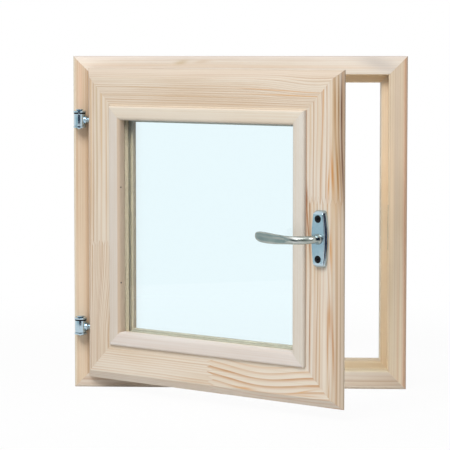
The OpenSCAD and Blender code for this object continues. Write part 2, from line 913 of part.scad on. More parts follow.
module lever_retaining_ring() {
    color(steel) in_sash() at_handle_axis()
        rotate([90, 0, 0]) translate([0, 0, recess_depth - ring_gap - ring_t + EPS])
            difference() {
                cylinder(d = ring_d, h = ring_t - 2 * EPS);
                translate([0, 0, -OVER])
                    cylinder(d = groove_d + 2 * fix_clear, h = ring_t + 2 * OVER);
                translate([0, ring_jaw - groove_d / 2, -OVER])
                    cube([ring_d, groove_d - 2 * ring_jaw, ring_t + 2 * OVER]);
            }
}

module handle_spindle() {
    color(steel) in_sash() at_handle_axis()
        rotate([-90, 0, 0]) translate([0, 0, socket_v + fix_clear])
            linear_extrude(spindle_end_v - socket_v - fix_clear) square(spindle_w, center = true);
}

module latch_tongue() {
    color(steel) in_sash() at_handle_axis()
        translate([0, tongue_inset + tongue_t, 0]) rotate([90, 0, 0])
            linear_extrude(tongue_t) difference() {
                union() {
                    circle(r = hub_r);
                    translate([-tongue_w / 2, -tongue_l]) square([tongue_w, tongue_l]);
                }
                square(spindle_w + 2 * fix_clear, center = true);
            }
}

// ---------------------------------------------------------------- all nodes

frame_left_jamb();
frame_right_jamb();
frame_head();
frame_sill();
frame_corner_dowels();
strike_plate();
strike_screws();
sash_hinge_stile();
sash_lock_stile();
sash_top_rail();
sash_bottom_rail();
sash_corner_dowels();
sash_seal();
front_pane();
rear_pane();
spacer_bar();
edge_sealant();
front_glazing_tape();
rear_glazing_tape();
setting_blocks();
bead_left();
bead_right();
bead_top();
bead_bottom();
bead_brads();
hinge_top_bracket();
hinge_top_pin();
hinge_top_eyebolt();
hinge_bottom_bracket();
hinge_bottom_pin();
hinge_bottom_eyebolt();
hinge_screws();
handle_plate();
handle_screws();
handle_lever();
lever_retaining_ring();
handle_spindle();
latch_tongue();
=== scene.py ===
# %% [markdown]
# # A small side-hung window, standing ajar
# A pine frame holds a pine sash on two eyebolt hinges. The sash carries a sealed glass unit behind four
# beads, and a lever handle turns a tongue into the lock jamb. The solids that come in here are exact but
# plain. This lesson dresses them: it makes the members again with smooth rounds, gives the metal its
# castings and threads, and paints every surface with a finish that is worked out from nodes.

# %% Bring in the solids
import json
import math

import bmesh
import bpy
from mathutils import Matrix, Vector


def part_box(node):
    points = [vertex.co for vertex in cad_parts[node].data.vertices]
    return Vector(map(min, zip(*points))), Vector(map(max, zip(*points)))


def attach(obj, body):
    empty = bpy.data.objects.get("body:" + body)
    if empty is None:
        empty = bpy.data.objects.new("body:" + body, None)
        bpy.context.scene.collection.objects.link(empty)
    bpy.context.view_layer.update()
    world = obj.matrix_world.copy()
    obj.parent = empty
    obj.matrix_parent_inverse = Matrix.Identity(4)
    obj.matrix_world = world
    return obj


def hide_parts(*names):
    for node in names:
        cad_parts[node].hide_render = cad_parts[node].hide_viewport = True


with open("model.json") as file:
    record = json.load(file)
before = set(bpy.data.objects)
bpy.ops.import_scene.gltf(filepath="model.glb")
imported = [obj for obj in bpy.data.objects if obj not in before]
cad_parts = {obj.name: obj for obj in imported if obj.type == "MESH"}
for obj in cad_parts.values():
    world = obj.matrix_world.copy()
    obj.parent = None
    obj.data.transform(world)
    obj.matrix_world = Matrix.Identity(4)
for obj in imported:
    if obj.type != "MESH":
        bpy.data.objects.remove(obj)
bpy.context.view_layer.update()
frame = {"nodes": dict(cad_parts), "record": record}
MM, METRE = 0.001, 1000                             # a millimetre in metres, a metre in millimetres

# %% [markdown]
# ## Where the sash stands
# The sash was built shut and then swung about its hinge pins. A piece is easiest to shape on the shut sash,
# so this cell works out the one matrix that carries a point from the shut sash, in millimetres from the
# bottom middle of its front face, to where the sash stands. The pins and the angle come from the record's
# own joint.

# %% Places that the pieces are made in
swing = next(j for j in frame["record"]["behaviour"]["joints"] if j["name"] == "sash_swing")
turn = next(j for j in frame["record"]["behaviour"]["joints"] if j["name"] == "lever_turn")
OPEN = math.radians(-swing["range_deg"][0])
PIVOT = Vector(swing["pos_m"]) * METRE
frame_low, frame_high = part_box("frame_left_jamb")[0] * METRE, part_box("frame_right_jamb")[1] * METRE
FRAME_W, FRAME_H = round(frame_high.x - frame_low.x, 3), round(frame_high.z - frame_low.z, 3)
FRONT_Y = frame_low.y
MARGIN = round(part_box("sash_bottom_rail")[0].z * METRE, 3)   # frame's edge to the flange's edge
SASH_W, SASH_H = FRAME_W - 2 * MARGIN, FRAME_H - 2 * MARGIN
PIN_BEHIND = 0.5                                    # from the shut sash's face back to the line of the pins
SASH_Y = PIVOT.y - PIN_BEHIND

SHUT_TO_OPEN = (
    Matrix.Translation((PIVOT.x, PIVOT.y, 0))
    @ Matrix.Rotation(-OPEN, 4, "Z")
    @ Matrix.Translation((-PIVOT.x, SASH_Y - PIVOT.y, MARGIN))
)
IN_METRES = Matrix.Scale(MM, 4)
HANDLE_EDGE = 22                                    # from the lock edge to the lever's axis
HANDLE_X, HANDLE_Z = SASH_W / 2 - HANDLE_EDGE, turn["pos_m"][2] * METRE - MARGIN


def linked(name, data):
    """A new object in the scene."""
    made = bpy.data.objects.new(name, data)
    bpy.context.collection.objects.link(made)
    return made


print("sash", SASH_W, "x", SASH_H, "mm, open by", round(math.degrees(OPEN), 1), "degrees")

# %% [markdown]
# ## Sockets that add like numbers
# A finish is mostly arithmetic on a point's place: how far from the tree's heart, which ring, how deep into
# it. Drawing that as boxes is slow, so a small class wraps each socket and turns Python's own signs into
# Math nodes. Every other node comes from one method, which takes the node's settings and the values of its
# sockets.

# %% A socket, and a maker of nodes
class Wire:
    """A socket of a node tree; a sum of wires and numbers adds the Math nodes for it."""

    def __init__(self, maker, socket):
        self.maker, self.socket = maker, socket

    def math(self, operation, *terms):
        return self.maker.node("ShaderNodeMath", {"operation": operation}, dict(enumerate(terms)))[0]

    def __add__(self, other):
        return self.math("ADD", self, other)

    def __sub__(self, other):
        return self.math("SUBTRACT", self, other)

    def __rsub__(self, other):
        return self.math("SUBTRACT", other, self)

    def __mul__(self, other):
        return self.math("MULTIPLY", self, other)

    def __truediv__(self, other):
        return self.math("DIVIDE", self, other)

    def __pow__(self, other):
        return self.math("POWER", self, other)

    __radd__, __rmul__ = __add__, __mul__

    def done(self, operation):
        return self.math(operation, self)

    def above(self, other):
        return self.math("GREATER_THAN", self, other)

    def ease(self, low, high):
        """0 below low, 1 above high and a soft step between."""
        settings = {"interpolation_type": "SMOOTHSTEP"}
        return self.maker.node("ShaderNodeMapRange", settings,
                               {"Value": self, "From Min": low, "From Max": high})["Result"]

    def spread(self, low, high):
        """0 to 1 becomes low to high."""
        return self * (high - low) + low


class Maker:
    """Adds nodes to one tree, a finish's or a shape's."""

    def __init__(self, tree):
        self.tree = tree

    def node(self, kind, settings=None, sockets=None):
        made = self.tree.nodes.new(kind)
        for name, value in (settings or {}).items():
            setattr(made, name, value)
        for name, value in (sockets or {}).items():
            socket = made.inputs[name] if isinstance(name, int) else next(
                s for s in made.inputs if name in (s.identifier, s.name))
            if isinstance(value, Wire):
                self.tree.links.new(value.socket, socket)
            else:
                socket.default_value = value
        return Outlets(self, made)

    def vector(self, x, y, z):
        return self.node("ShaderNodeCombineXYZ", None, {0: x, 1: y, 2: z})[0]

    def parts(self, vector):
        apart = self.node("ShaderNodeSeparateXYZ", None, {0: vector})
        return apart[0], apart[1], apart[2]

    def noise(self, vector, detail=2.0, rough=0.5):
        """Soft noise about 0, from about -0.3 to 0.3."""
        return self.node("ShaderNodeTexNoise", None, {
            "Vector": vector, "Scale": 1.0, "Detail": detail, "Roughness": rough})[0] - 0.5

    def cloud(self, scales, detail=3.0):
        """Noise that stays with the piece, with so many waves to a metre along x, y and z."""
        places = self.parts(self.node("ShaderNodeTexCoord")["Object"])
        return self.noise(self.vector(*(place * scale for place, scale in zip(places, scales))), detail)

    def blend(self, factor, first, second):
        """A colour between two colours."""
        return self.node("ShaderNodeMix", {"data_type": "RGBA"}, {
            "Factor_Float": factor, "A_Color": first, "B_Color": second})["Result_Color"]


class Outlets:
    """The outputs of a node, by name, identifier or number."""

    def __init__(self, maker, made):
        self.maker, self.made = maker, made

    def __getitem__(self, name):
        socket = self.made.outputs[name] if isinstance(name, int) else next(
            s for s in self.made.outputs if name in (s.identifier, s.name))
        return Wire(self.maker, socket)


def tint(red, green, blue):
    """A screen colour, 0 to 255, as the linear colour that a shader takes."""
    def straight(value):
        value /= 255
        return value / 12.92 if value <= 0.04045 else ((value + 0.055) / 1.055) ** 2.4
    return (straight(red), straight(green), straight(blue), 1.0)


def finish(name):
    """A new finish: its material, and a maker for its empty tree."""
    material = bpy.data.materials.new(name)
    material.use_nodes = True
    material.node_tree.nodes.clear()
    return material, Maker(material.node_tree)


def coat_with(maker, sockets, bump=None, depth=0.0):
    """Ends a finish in one Principled shader, with its bump's height if it has one."""
    if bump is not None:
        sockets["Normal"] = maker.node("ShaderNodeBump", None, {
            "Strength": 1.0, "Distance": depth, "Height": bump})["Normal"]
    shader = maker.node("ShaderNodeBsdfPrincipled", None, sockets)["BSDF"]
    maker.node("ShaderNodeOutputMaterial", None, {"Surface": shader})


print("tint check:", tuple(round(v, 3) for v in tint(225, 209, 190)))

# %% [markdown]
# ## Camera, light and ground
# The camera stands two and a third metres back with a long lens, a little to the right and just above the
# window's head, so the frame looks almost square-on while the open sash shows its edge. Its shift lifts the
# picture a little, as a product camera's does.

# %% Camera
CAMERA_AT = (100.57, -2358.9, 397.67)
TILT_DOWN, TURN_LEFT = 4.029, 2.887
LENS, SENSOR, LIFT = 160.53, 36, -0.076
camera = linked("camera", bpy.data.cameras.new("camera"))
camera.location = Vector(CAMERA_AT) * MM
camera.rotation_euler = (math.radians(90 - TILT_DOWN), 0, math.radians(TURN_LEFT))
camera.data.sensor_width = SENSOR
camera.data.lens = LENS
camera.data.shift_y = LIFT
camera.data.clip_end = 50
bpy.context.scene.camera = camera
bpy.context.scene.view_settings.view_transform = "Standard"
print("lens:", LENS, "mm, from", round(camera.location.length, 2), "m")

# %% [markdown]
# The light of a bright room comes from everywhere and a little more from above. One broad panel, high in
# front and to the left, gives the soft shadows, and a weak even sky fills them. The sky shows white to the
# camera, to metal and through glass, but lights the wood with far less, so that pale pine keeps its colour.
# Light Path tells the rays apart.

# %% Panel and sky
PANEL_AT, PANEL_AIM, PANEL_SIZE, PANEL_POWER = (-0.75, -2.15, 2.1), (0, 0, 0.2), (2.0, 1.2), 68
panel = bpy.data.lights.new("high_panel", "AREA")
panel.shape, panel.size, panel.size_y = "RECTANGLE", *PANEL_SIZE
panel.energy = PANEL_POWER
lamp = linked("high_panel", panel)
lamp.location = PANEL_AT
lamp.rotation_euler = (Vector(PANEL_AIM) - Vector(PANEL_AT)).to_track_quat("-Z", "Y").to_euler()


def sight(maker):
    """1 for rays that see or mirror and 0 for those that only carry light."""
    ray = maker.node("ShaderNodeLightPath")
    seen = ray["Is Camera Ray"] + ray["Is Glossy Ray"] + ray["Is Transmission Ray"]
    return seen.math("MINIMUM", seen, 1.0)


SKY_LIGHT = 0.34
sky = bpy.data.worlds.new("studio")
sky.use_nodes = True
sky.node_tree.nodes.clear()
air = Maker(sky.node_tree)
air.node("ShaderNodeOutputWorld", None, {"Surface": air.node("ShaderNodeBackground", None, {
    "Color": (1.0, 1.0, 1.0, 1.0), "Strength": sight(air).spread(SKY_LIGHT, 1.0)})["Background"]})
bpy.context.scene.world = sky
print("sky light on the wood:", SKY_LIGHT)

# %% [markdown]
# The window stands on white paper. The paper's matt part takes the shadow, and its glow makes the rest as
# white as the sky. Round the window the glow is a little weaker, so a faint shadow shows there, and further
# out none.

# %% Floor
GLOW_NEAR, FADE_FROM, FADE_TO, FLOOR_SIZE = 0.95, 0.35, 0.9, 6
ground, m = finish("paper_floor")
matt = m.node("ShaderNodeBsdfDiffuse", None, {"Color": tint(240, 241, 242)})["BSDF"]
glow = m.node("ShaderNodeEmission", None, {"Color": (1, 1, 1, 1), "Strength": 1.0})["Emission"]
east, north, up = m.parts(m.node("ShaderNodeTexCoord")["Object"])
far = (east * east + north * north).done("SQRT").ease(FADE_FROM, FADE_TO)
m.node("ShaderNodeOutputMaterial", None, {"Surface": m.node("ShaderNodeMixShader", None, {
    0: sight(m) * far.spread(GLOW_NEAR, 1.0), 1: matt, 2: glow})[0]})
bpy.ops.mesh.primitive_plane_add(size=FLOOR_SIZE, location=(0, 0, 0))
floor = bpy.context.object
floor.name = "floor"
floor.data.materials.append(ground)
print("floor:", FLOOR_SIZE, "m square")

# %% [markdown]
# A pane or a polished lever shows the room round it more than itself. Three sheets stand in for that room:
# dark ones to the right and in front, and a pale one on the left. They show in reflections alone, so they
# neither light the wood nor throw a shadow.

# %% Sheets that only glass and metal see
def card(name, start, end, low, high, colour):
    """An upright sheet from start to end on the ground, that shows in reflections alone."""
    material, m = finish(name)
    m.node("ShaderNodeOutputMaterial", None, {"Surface": m.node("ShaderNodeEmission", None, {
        "Color": colour, "Strength": 1.0})["Emission"]})
    mesh = bpy.data.meshes.new(name)
    mesh.from_pydata([(*start, low), (*end, low), (*end, high), (*start, high)], [], [(0, 1, 2, 3)])
    mesh.materials.append(material)
    made = linked(name, mesh)
    for kind in ("camera", "diffuse", "transmission", "shadow", "volume_scatter"):
        setattr(made, "visible_" + kind, False)


NAVY, HAZE = (0.02, 0.03, 0.06, 1), (0.54, 0.68, 0.72, 1)
card("right_card", (0.6, -0.6), (0.6, 0.7), 0.002, 0.75, NAVY)
card("front_card", (-1.0, -1.3), (0.3, -1.3), 0.002, 0.75, NAVY)
card("left_card", (-0.75, -1.0), (-0.75, -0.1), 0.05, 0.42, HAZE)

# %% [markdown]
# ## Planed pine
# Pine is a stack of cones round the tree's heart: each year adds pale early wood that darkens slowly into
# late wood and then stops at once. A plank is a straight cut through that. So the finish measures the
# distance to a heart line that runs beside the board, bends it a little with noise, and looks up where in
# its year each point lies. Every board has its own heart, ring width and tones, and some are two pieces
# joined end to end with finger joints, where the figure changes along a zigzag.

# %% The finish of one board
PALE, WARM, LATE, DEEP = (212, 203, 190), (205, 186, 160), (196, 150, 102), (154, 104, 62)


def bell(length, edge, spot):
    """1 at a spot (along, across, run, wide, slope) and fading to 0 round it, on a sloping line."""
    along, across, run, wide, slope = spot
    off = (edge - across) - (length - along) * slope
    return ((((length - along) / run) ** 2.0 + (off / wide) ** 2.0) * -1.0).done("EXPONENT")


def board_finish(name, along, across, depth, hung, heart=(60, 90), ring=4.5, wander=0.6, figure=0.6, seed=0.0,
                 tones=(PALE, WARM, LATE, DEEP), warm=0.45, swells=(), marks=(), joint=None, inside=()):
    """Pine with its grain on one axis. along, across and depth say how a point's way along the member,
    from its outer edge and from its face come from x, y and z, each as (axis, sign, offset in millimetres).
    Swells push the rings aside, spots tone the wood, some of them as painted light, inner tones are painted
    light and shade, and joint changes the figure beyond it."""
    material, m = finish(name)
    place = m.node("ShaderNodeTexCoord")["Object"]
    if hung:
        pins = Vector((PIVOT.x * MM, PIVOT.y * MM, 0))
        back = Matrix.Translation(pins) @ Matrix.Rotation(OPEN, 4, "Z") @ Matrix.Translation(-pins)
        place = m.node("ShaderNodeMapping", {"vector_type": "POINT"}, {
            "Vector": place, "Location": back.to_translation(), "Rotation": (0, 0, OPEN)})[0]
    axes = dict(zip("xyz", m.parts(place)))
    length, edge, deep = (axes[a] * (sign * METRE) + offset for a, sign, offset in (along, across, depth))

    def grain(wide, run, detail, *shifts):
        """Noise in streaks, so many millimetres wide and long."""
        end_on = length / run
        for shift in shifts:
            end_on = end_on + shift
        return m.noise(m.vector(edge / wide, deep / wide, end_on), detail)

    def either(first, key):
        return second * (joint[key] - first) + first if joint and key in joint else first

    second, glue = 0.0, None
    if joint:
        fingers = ((edge / joint["pitch"]).done("FRACT") - 0.5).done("ABSOLUTE")
        saw = fingers * (2 * joint["tooth"]) + joint["at"]
        second = length.above(saw)
        glue = 1.0 - ((length - saw).done("ABSOLUTE")).ease(0.4, 1.6)
    piece_seed = second * 17.0 + seed
    off_u = edge - either(heart[0], "heart_u")
    off_v = deep - either(heart[1], "heart_v")
    slow, quick = grain(45.0, 190.0, 1.0, piece_seed), grain(12.0, 55.0, 2.0, piece_seed)
    reach = (off_u * off_u + off_v * off_v).done("SQRT")
    reach = reach + (slow * 6.0 + quick * 1.3) * either(wander, "wander")
    for *spot, lift, which in swells:
        hump = bell(length, edge, spot) * lift
        if joint and which:
            hump = hump * (second if which == 2 else 1.0 - second)
        reach = reach + hump
    years = reach / either(ring, "ring")
    years = years + m.noise(m.vector(years / 2.6, piece_seed, 0.0), 1.0) * 1.4
    within = years.done("FRACT")
    late = (within.ease(0.2, 0.9) ** 1.8) * (1.0 - within.ease(0.92, 1.0))
    strong = m.node("ShaderNodeTexWhiteNoise", {"noise_dimensions": "1D"}, {
        "W": years.done("FLOOR") + 0.31})[0]
    broad, streak = grain(26.0, 150.0, 2.0, piece_seed, 3.0), grain(1.5, 170.0, 2.0, piece_seed)
    fibre = m.noise(m.vector(edge * 1.7, deep * 1.7, length / 22.0 + seed), 3.0, 0.6)
    flow = grain(6.0, 90.0, 1.0, piece_seed) + 0.5

    pale, warmer, late_tone, deep_tone = (tint(*t) for t in tones)
    base = m.blend((broad * 1.8 + streak * 1.5 + either(warm, "warm")).ease(0.1, 0.9), pale, warmer)
    line = m.blend(strong * late, late_tone, deep_tone)
    shown = late * strong.spread(0.35, 1.0) * flow.ease(0.15, 0.7).spread(0.5, 1.0) * either(figure, "figure")
    wood = m.blend(shown, base, line)
    # Inner tones from a set distance in from the outer edge: painted light and shade.
    for start, tone, strength in inside:
        wood = m.blend(edge.ease(start, start + 0.8) * strength, wood, tint(*tone))
    # Spots of tone: wood colour, and in places a painted shadow, shade or highlight.
    for *spot, tone, strength in marks:
        soft = bell(length, edge, spot) * (streak * 1.2 + 0.95) * strength
        wood = m.blend(soft.math("MINIMUM", soft, 1.0), wood, tint(*tone))
    if joint:
        wood = m.blend(glue * (fibre + 0.55) * 0.3, wood, deep_tone)
    wood = m.blend((fibre * 1.4 + 0.5).ease(0.0, 1.0) * 0.08, wood, tint(188, 152, 112))
    coat_with(m, {
        "Base Color": wood,
        "Roughness": (fibre * 0.35 + 0.52) - late * 0.08,
        "Specular IOR Level": 0.35,
    }, bump=fibre * 0.35 + late * 0.5, depth=0.00012)
    return material


print("a mark fades to half at", round(math.sqrt(math.log(2)), 2), "of its width")

# %% [markdown]
# ## One rule for twelve mitred members
# Jambs, rails, stiles and beads are all the same thing: a section run in a straight line and sawn off at 45
# degrees at both ends. Geometry Nodes state that rule once. The section comes in as a curve with a radius
# at each corner, Fillet rounds it, Curve to Mesh runs it along a line, and one Set Position draws each
# point of the ends back by its own distance from the outer edge. A hairline is left open at each mitre, as
# on a real joint.

# %% The rule for a mitred member
def group(name, sizes):
    """An empty shape tree with a geometry input, named number inputs and a geometry output."""
    tree = bpy.data.node_groups.new(name, "GeometryNodeTree")
    tree.interface.new_socket("Geometry", in_out="INPUT", socket_type="NodeSocketGeometry")
    for size, kind in sizes:
        tree.interface.new_socket(size, in_out="INPUT", socket_type="NodeSocket" + kind)
    tree.interface.new_socket("Geometry", in_out="OUTPUT", socket_type="NodeSocketGeometry")
    maker = Maker(tree)
    return tree, maker, maker.node("NodeGroupInput")


def mitred_member_tree():
    """Builds the tree: a rounded section run along X, with its ends drawn back to the mitres."""
    tree, m, given = group("mitred member", [
        ("Length", "Float"), ("Mitre gap", "Float"), ("Steps", "Int"), ("Wood", "Material")])
    rounded = m.node("GeometryNodeFilletCurve", {"mode": "POLY"}, {
        "Curve": given["Geometry"], "Count": given["Steps"], "Radius": m.node("GeometryNodeInputRadius")[0],
        "Limit Radius": False})[0]
    half = given["Length"] * 0.5
    run = m.node("GeometryNodeCurvePrimitiveLine", {"mode": "POINTS"}, {
        "Start": m.vector(half * -1.0, 0.0, 0.0), "End": m.vector(half, 0.0, 0.0)})[0]
    bar = m.node("GeometryNodeCurveToMesh", None, {
        "Curve": run, "Profile Curve": rounded, "Fill Caps": True})[0]
    x, y, z = m.parts(m.node("GeometryNodeInputPosition")[0])
    drawn_in = x * (1.0 - (z + given["Mitre gap"]) / half)
    bar = m.node("GeometryNodeSetPosition", None, {"Geometry": bar, "Position": m.vector(drawn_in, y, z)})[0]
    bar = m.node("GeometryNodeRealizeInstances", None, {"Geometry": bar})[0]
    bar = m.node("GeometryNodeSetMaterial", None, {"Geometry": bar, "Material": given["Wood"]})[0]
    m.node("NodeGroupOutput", None, {"Geometry": bar})
    return tree


MITRED = mitred_member_tree()


def settle(made, tree, values):
    """Runs a shape tree on an object, and gives the result back as a plain mesh."""
    modifier = made.modifiers.new(tree.name, "NODES")
    modifier.node_group = tree
    for socket in tree.interface.items_tree:
        if socket.in_out == "INPUT" and socket.name in values:
            modifier[socket.identifier] = values[socket.name]
    graph = bpy.context.evaluated_depsgraph_get()
    result = bpy.data.meshes.new_from_object(made.evaluated_get(graph), depsgraph=graph)
    made.modifiers.remove(modifier)
    return result


SAME_POINT = 2e-6                                   # corners this near, in metres, are one


def piece(name, mesh, body, nodes=(), sharp=40.0):
    """A finished mesh as a piece of the window: shaded, riding its body and standing for its solids."""
    tidy = bmesh.new()
    tidy.from_mesh(mesh)
    bmesh.ops.remove_doubles(tidy, verts=tidy.verts, dist=SAME_POINT)
    bmesh.ops.recalc_face_normals(tidy, faces=tidy.faces)
    tidy.to_mesh(mesh)
    tidy.free()
    mesh.shade_smooth()
    mesh.set_sharp_from_angle(angle=math.radians(sharp))
    made = linked(name, mesh)
    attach(made, body)
    if nodes:
        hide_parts(*nodes)
    return made


def section(corners):
    """A closed curve through corners of (depth, distance from the outer edge, radius), in millimetres."""
    data = bpy.data.curves.new("section", "CURVE")
    data.dimensions = "3D"
    spline = data.splines.new("POLY")
    spline.points.add(len(corners) - 1)
    spline.use_cyclic_u = True
    for point, (deep, far, radius) in zip(spline.points, corners):
        point.co = (-deep * MM, -far * MM, 0, 1)
        point.radius = radius * MM
    return linked("section", data)


print("one member has", len(MITRED.nodes), "nodes")

# %% [markdown]
# ## Tools for turned, lofted and pressed parts
# A turned part is a profile swung round a line, a cast one is a row of rings skinned over, and a pressed
# one is an outline with thickness. Small helpers make those as closed shells, and one more joins or cuts
# shells with an exact Boolean, which keeps every result a single clean skin.

# %% Shells
FACE_OUT = Matrix.Rotation(math.radians(90), 4, "X")      # turns a shape made up Z to point out of the face
SHARP_EDGE = math.radians(35)


def skin(rings, closed_row=False):
    """A closed mesh over rings with equally many points; its ends are capped."""
    count = len(rings[0])
    points = [p for ring in rings for p in ring]
    faces = []
    for row in range(len(rings) - (0 if closed_row else 1)):
        low, high = row * count, (row + 1) % len(rings) * count
        faces += [(low + k, low + (k + 1) % count, high + (k + 1) % count, high + k) for k in range(count)]
    if not closed_row:
        faces += [tuple(range(count - 1, -1, -1)), tuple(range(len(points) - count, len(points)))]
    mesh = bpy.data.meshes.new("shell")
    mesh.from_pydata(points, [], faces)
    return mesh


def turned(profile, steps):
    """Swings (radius, height) points round Z."""
    rings = [[(r * math.cos(a), r * math.sin(a), z) for a in (2 * math.pi * k / steps for k in range(steps))]
             for r, z in profile]
    return skin(rings)


def pressed(outline, low, high):
    """An outline with thickness along Z."""
    return skin([[(x, y, low) for x, y in outline], [(x, y, high) for x, y in outline]])


def block(low, high):
    """A box between two corners, to cut with."""
    (left, front, bottom), (right, back, top) = low, high
    return pressed([(left, front), (right, front), (right, back), (left, back)], bottom, top)


def combined(mesh, others, operation="DIFFERENCE", bevel=0.0, segments=3):
    """The mesh with others cut away, or joined on, and its sharp edges rounded."""
    base, tools = linked("part", mesh), [linked("part", other) for other in others]
    for tool in tools:
        change = base.modifiers.new("cut", "BOOLEAN")
        change.operation, change.object, change.solver = operation, tool, "EXACT"
    if bevel:
        soft = base.modifiers.new("soften", "BEVEL")
        soft.width, soft.segments, soft.limit_method = bevel, segments, "ANGLE"
        soft.angle_limit = SHARP_EDGE
    graph = bpy.context.evaluated_depsgraph_get()
    result = bpy.data.meshes.new_from_object(base.evaluated_get(graph), depsgraph=graph)
    for used in [base, *tools]:
        bpy.data.objects.remove(used)
    return result


def gathered(name, meshes):
    """One mesh of several that stay apart."""
    shells = bmesh.new()
    for mesh in meshes:
        shells.from_mesh(mesh)
    mesh = bpy.data.meshes.new(name)
    shells.to_mesh(mesh)
    shells.free()
    return mesh


print("edges that turn more than", round(math.degrees(SHARP_EDGE)), "degrees are softened")

# %% [markdown]
# ## Frame, sash and beads
# Each member is the rule above with its own section. The frame's section is rebated for the sash, the
# sash's has a bevelled flange that laps over the frame and a lip behind the glass, and the bead is a small
# square with its front edges rounded. A quarter turn about the middle carries the bottom member to each
# other side.

# %% Sections and sides
# Corners are (depth, distance from the outer edge, radius). Depths start at each rectangle's own face.
FACE, STOP, FRAME_DEPTH, REBATE = 22, 31, 44, 17.5         # where the face and the stop end, and two depths
BEVEL, FLANGE_T, SASH_IN, SASH_T = 10, 12, 9.5, 27.5       # the flange, and the sash's body behind it
STILE, LIP_EDGE, LIP_FRONT = 43, 61.5, 21                  # where the face and the lip end
BEAD_OUT, BEAD_BACK, BEAD_EDGE, BEAD_ROUND = -4.5, 5.5, 59, 4.5
FRAME_SECTION = [(0, 0, 3.5), (FRAME_DEPTH, 0, 3.5), (FRAME_DEPTH, STOP, 2.5), (REBATE, STOP, 2.5),
                 (REBATE, FACE, 0), (0, FACE, 2.5)]
SASH_SECTION = [(0, BEVEL, 1.5), (BEVEL, 0, 0.75), (FLANGE_T, 0, 0.75), (FLANGE_T, SASH_IN, 0),
                (SASH_T, SASH_IN, 3), (SASH_T, LIP_EDGE, 1.5), (LIP_FRONT, LIP_EDGE, 1.5),
                (LIP_FRONT, STILE, 0), (0, STILE, 0.75)]
BEAD_SECTION = [(BEAD_OUT, STILE, 2.5), (BEAD_BACK, STILE, 0), (BEAD_BACK, BEAD_EDGE, 0),
                (BEAD_OUT, BEAD_EDGE, BEAD_ROUND)]
MITRE_GAP = 0.04
ROUND_STEPS = 7
QUARTER = {"bottom": 0, "left": 90, "top": 180, "right": -90}


def side_matrix(side, width, height):
    """Carries a bar that lies along the bottom edge to one side of a width by height rectangle."""
    reach = {"bottom": (0, 0, 0), "top": (0, 0, height), "left": (-width / 2, 0, height / 2),
             "right": (width / 2, 0, height / 2)}[side]
    return Matrix.Translation(reach) @ Matrix.Rotation(math.radians(QUARTER[side]), 4, "Y")


def member(corners, side, width, height, wood):
    """The mesh of one mitred member, in millimetres, in its rectangle's own place."""
    length = height if side in ("left", "right") else width
    run = section(corners)
    mesh = settle(run, MITRED, {
        "Length": length * MM, "Mitre gap": MITRE_GAP * MM, "Steps": ROUND_STEPS, "Wood": wood})
    bpy.data.objects.remove(run)
    mesh.transform(side_matrix(side, width, height) @ Matrix.Scale(METRE, 4))
    return mesh


def wood_axes(side, width, height, under):
    """A board's way along and its way in from the outer edge, in a rectangle that starts so far up."""
    upright, level = ("z", 1, -under), ("x", 1, width / 2)
    return {"left": (upright, level), "right": (upright, ("x", -1, width / 2)),
            "top": (level, ("z", -1, height + under)), "bottom": (level, upright)}[side]


def frame_wood(name, side, **look):
    """Pine for one member of the frame, measured from the frame's edges and face."""
    return board_finish(name, *wood_axes(side, FRAME_W, FRAME_H, 0), ("y", 1, -FRONT_Y), False, **look)


def sash_wood(name, side, **look):
    """Pine for one member of the sash or one bead, measured as if the sash were shut."""
    return board_finish(name, *wood_axes(side, SASH_W, SASH_H, MARGIN), ("y", 1, -SASH_Y), True, **look)


print("turns of the bottom member:", QUARTER)
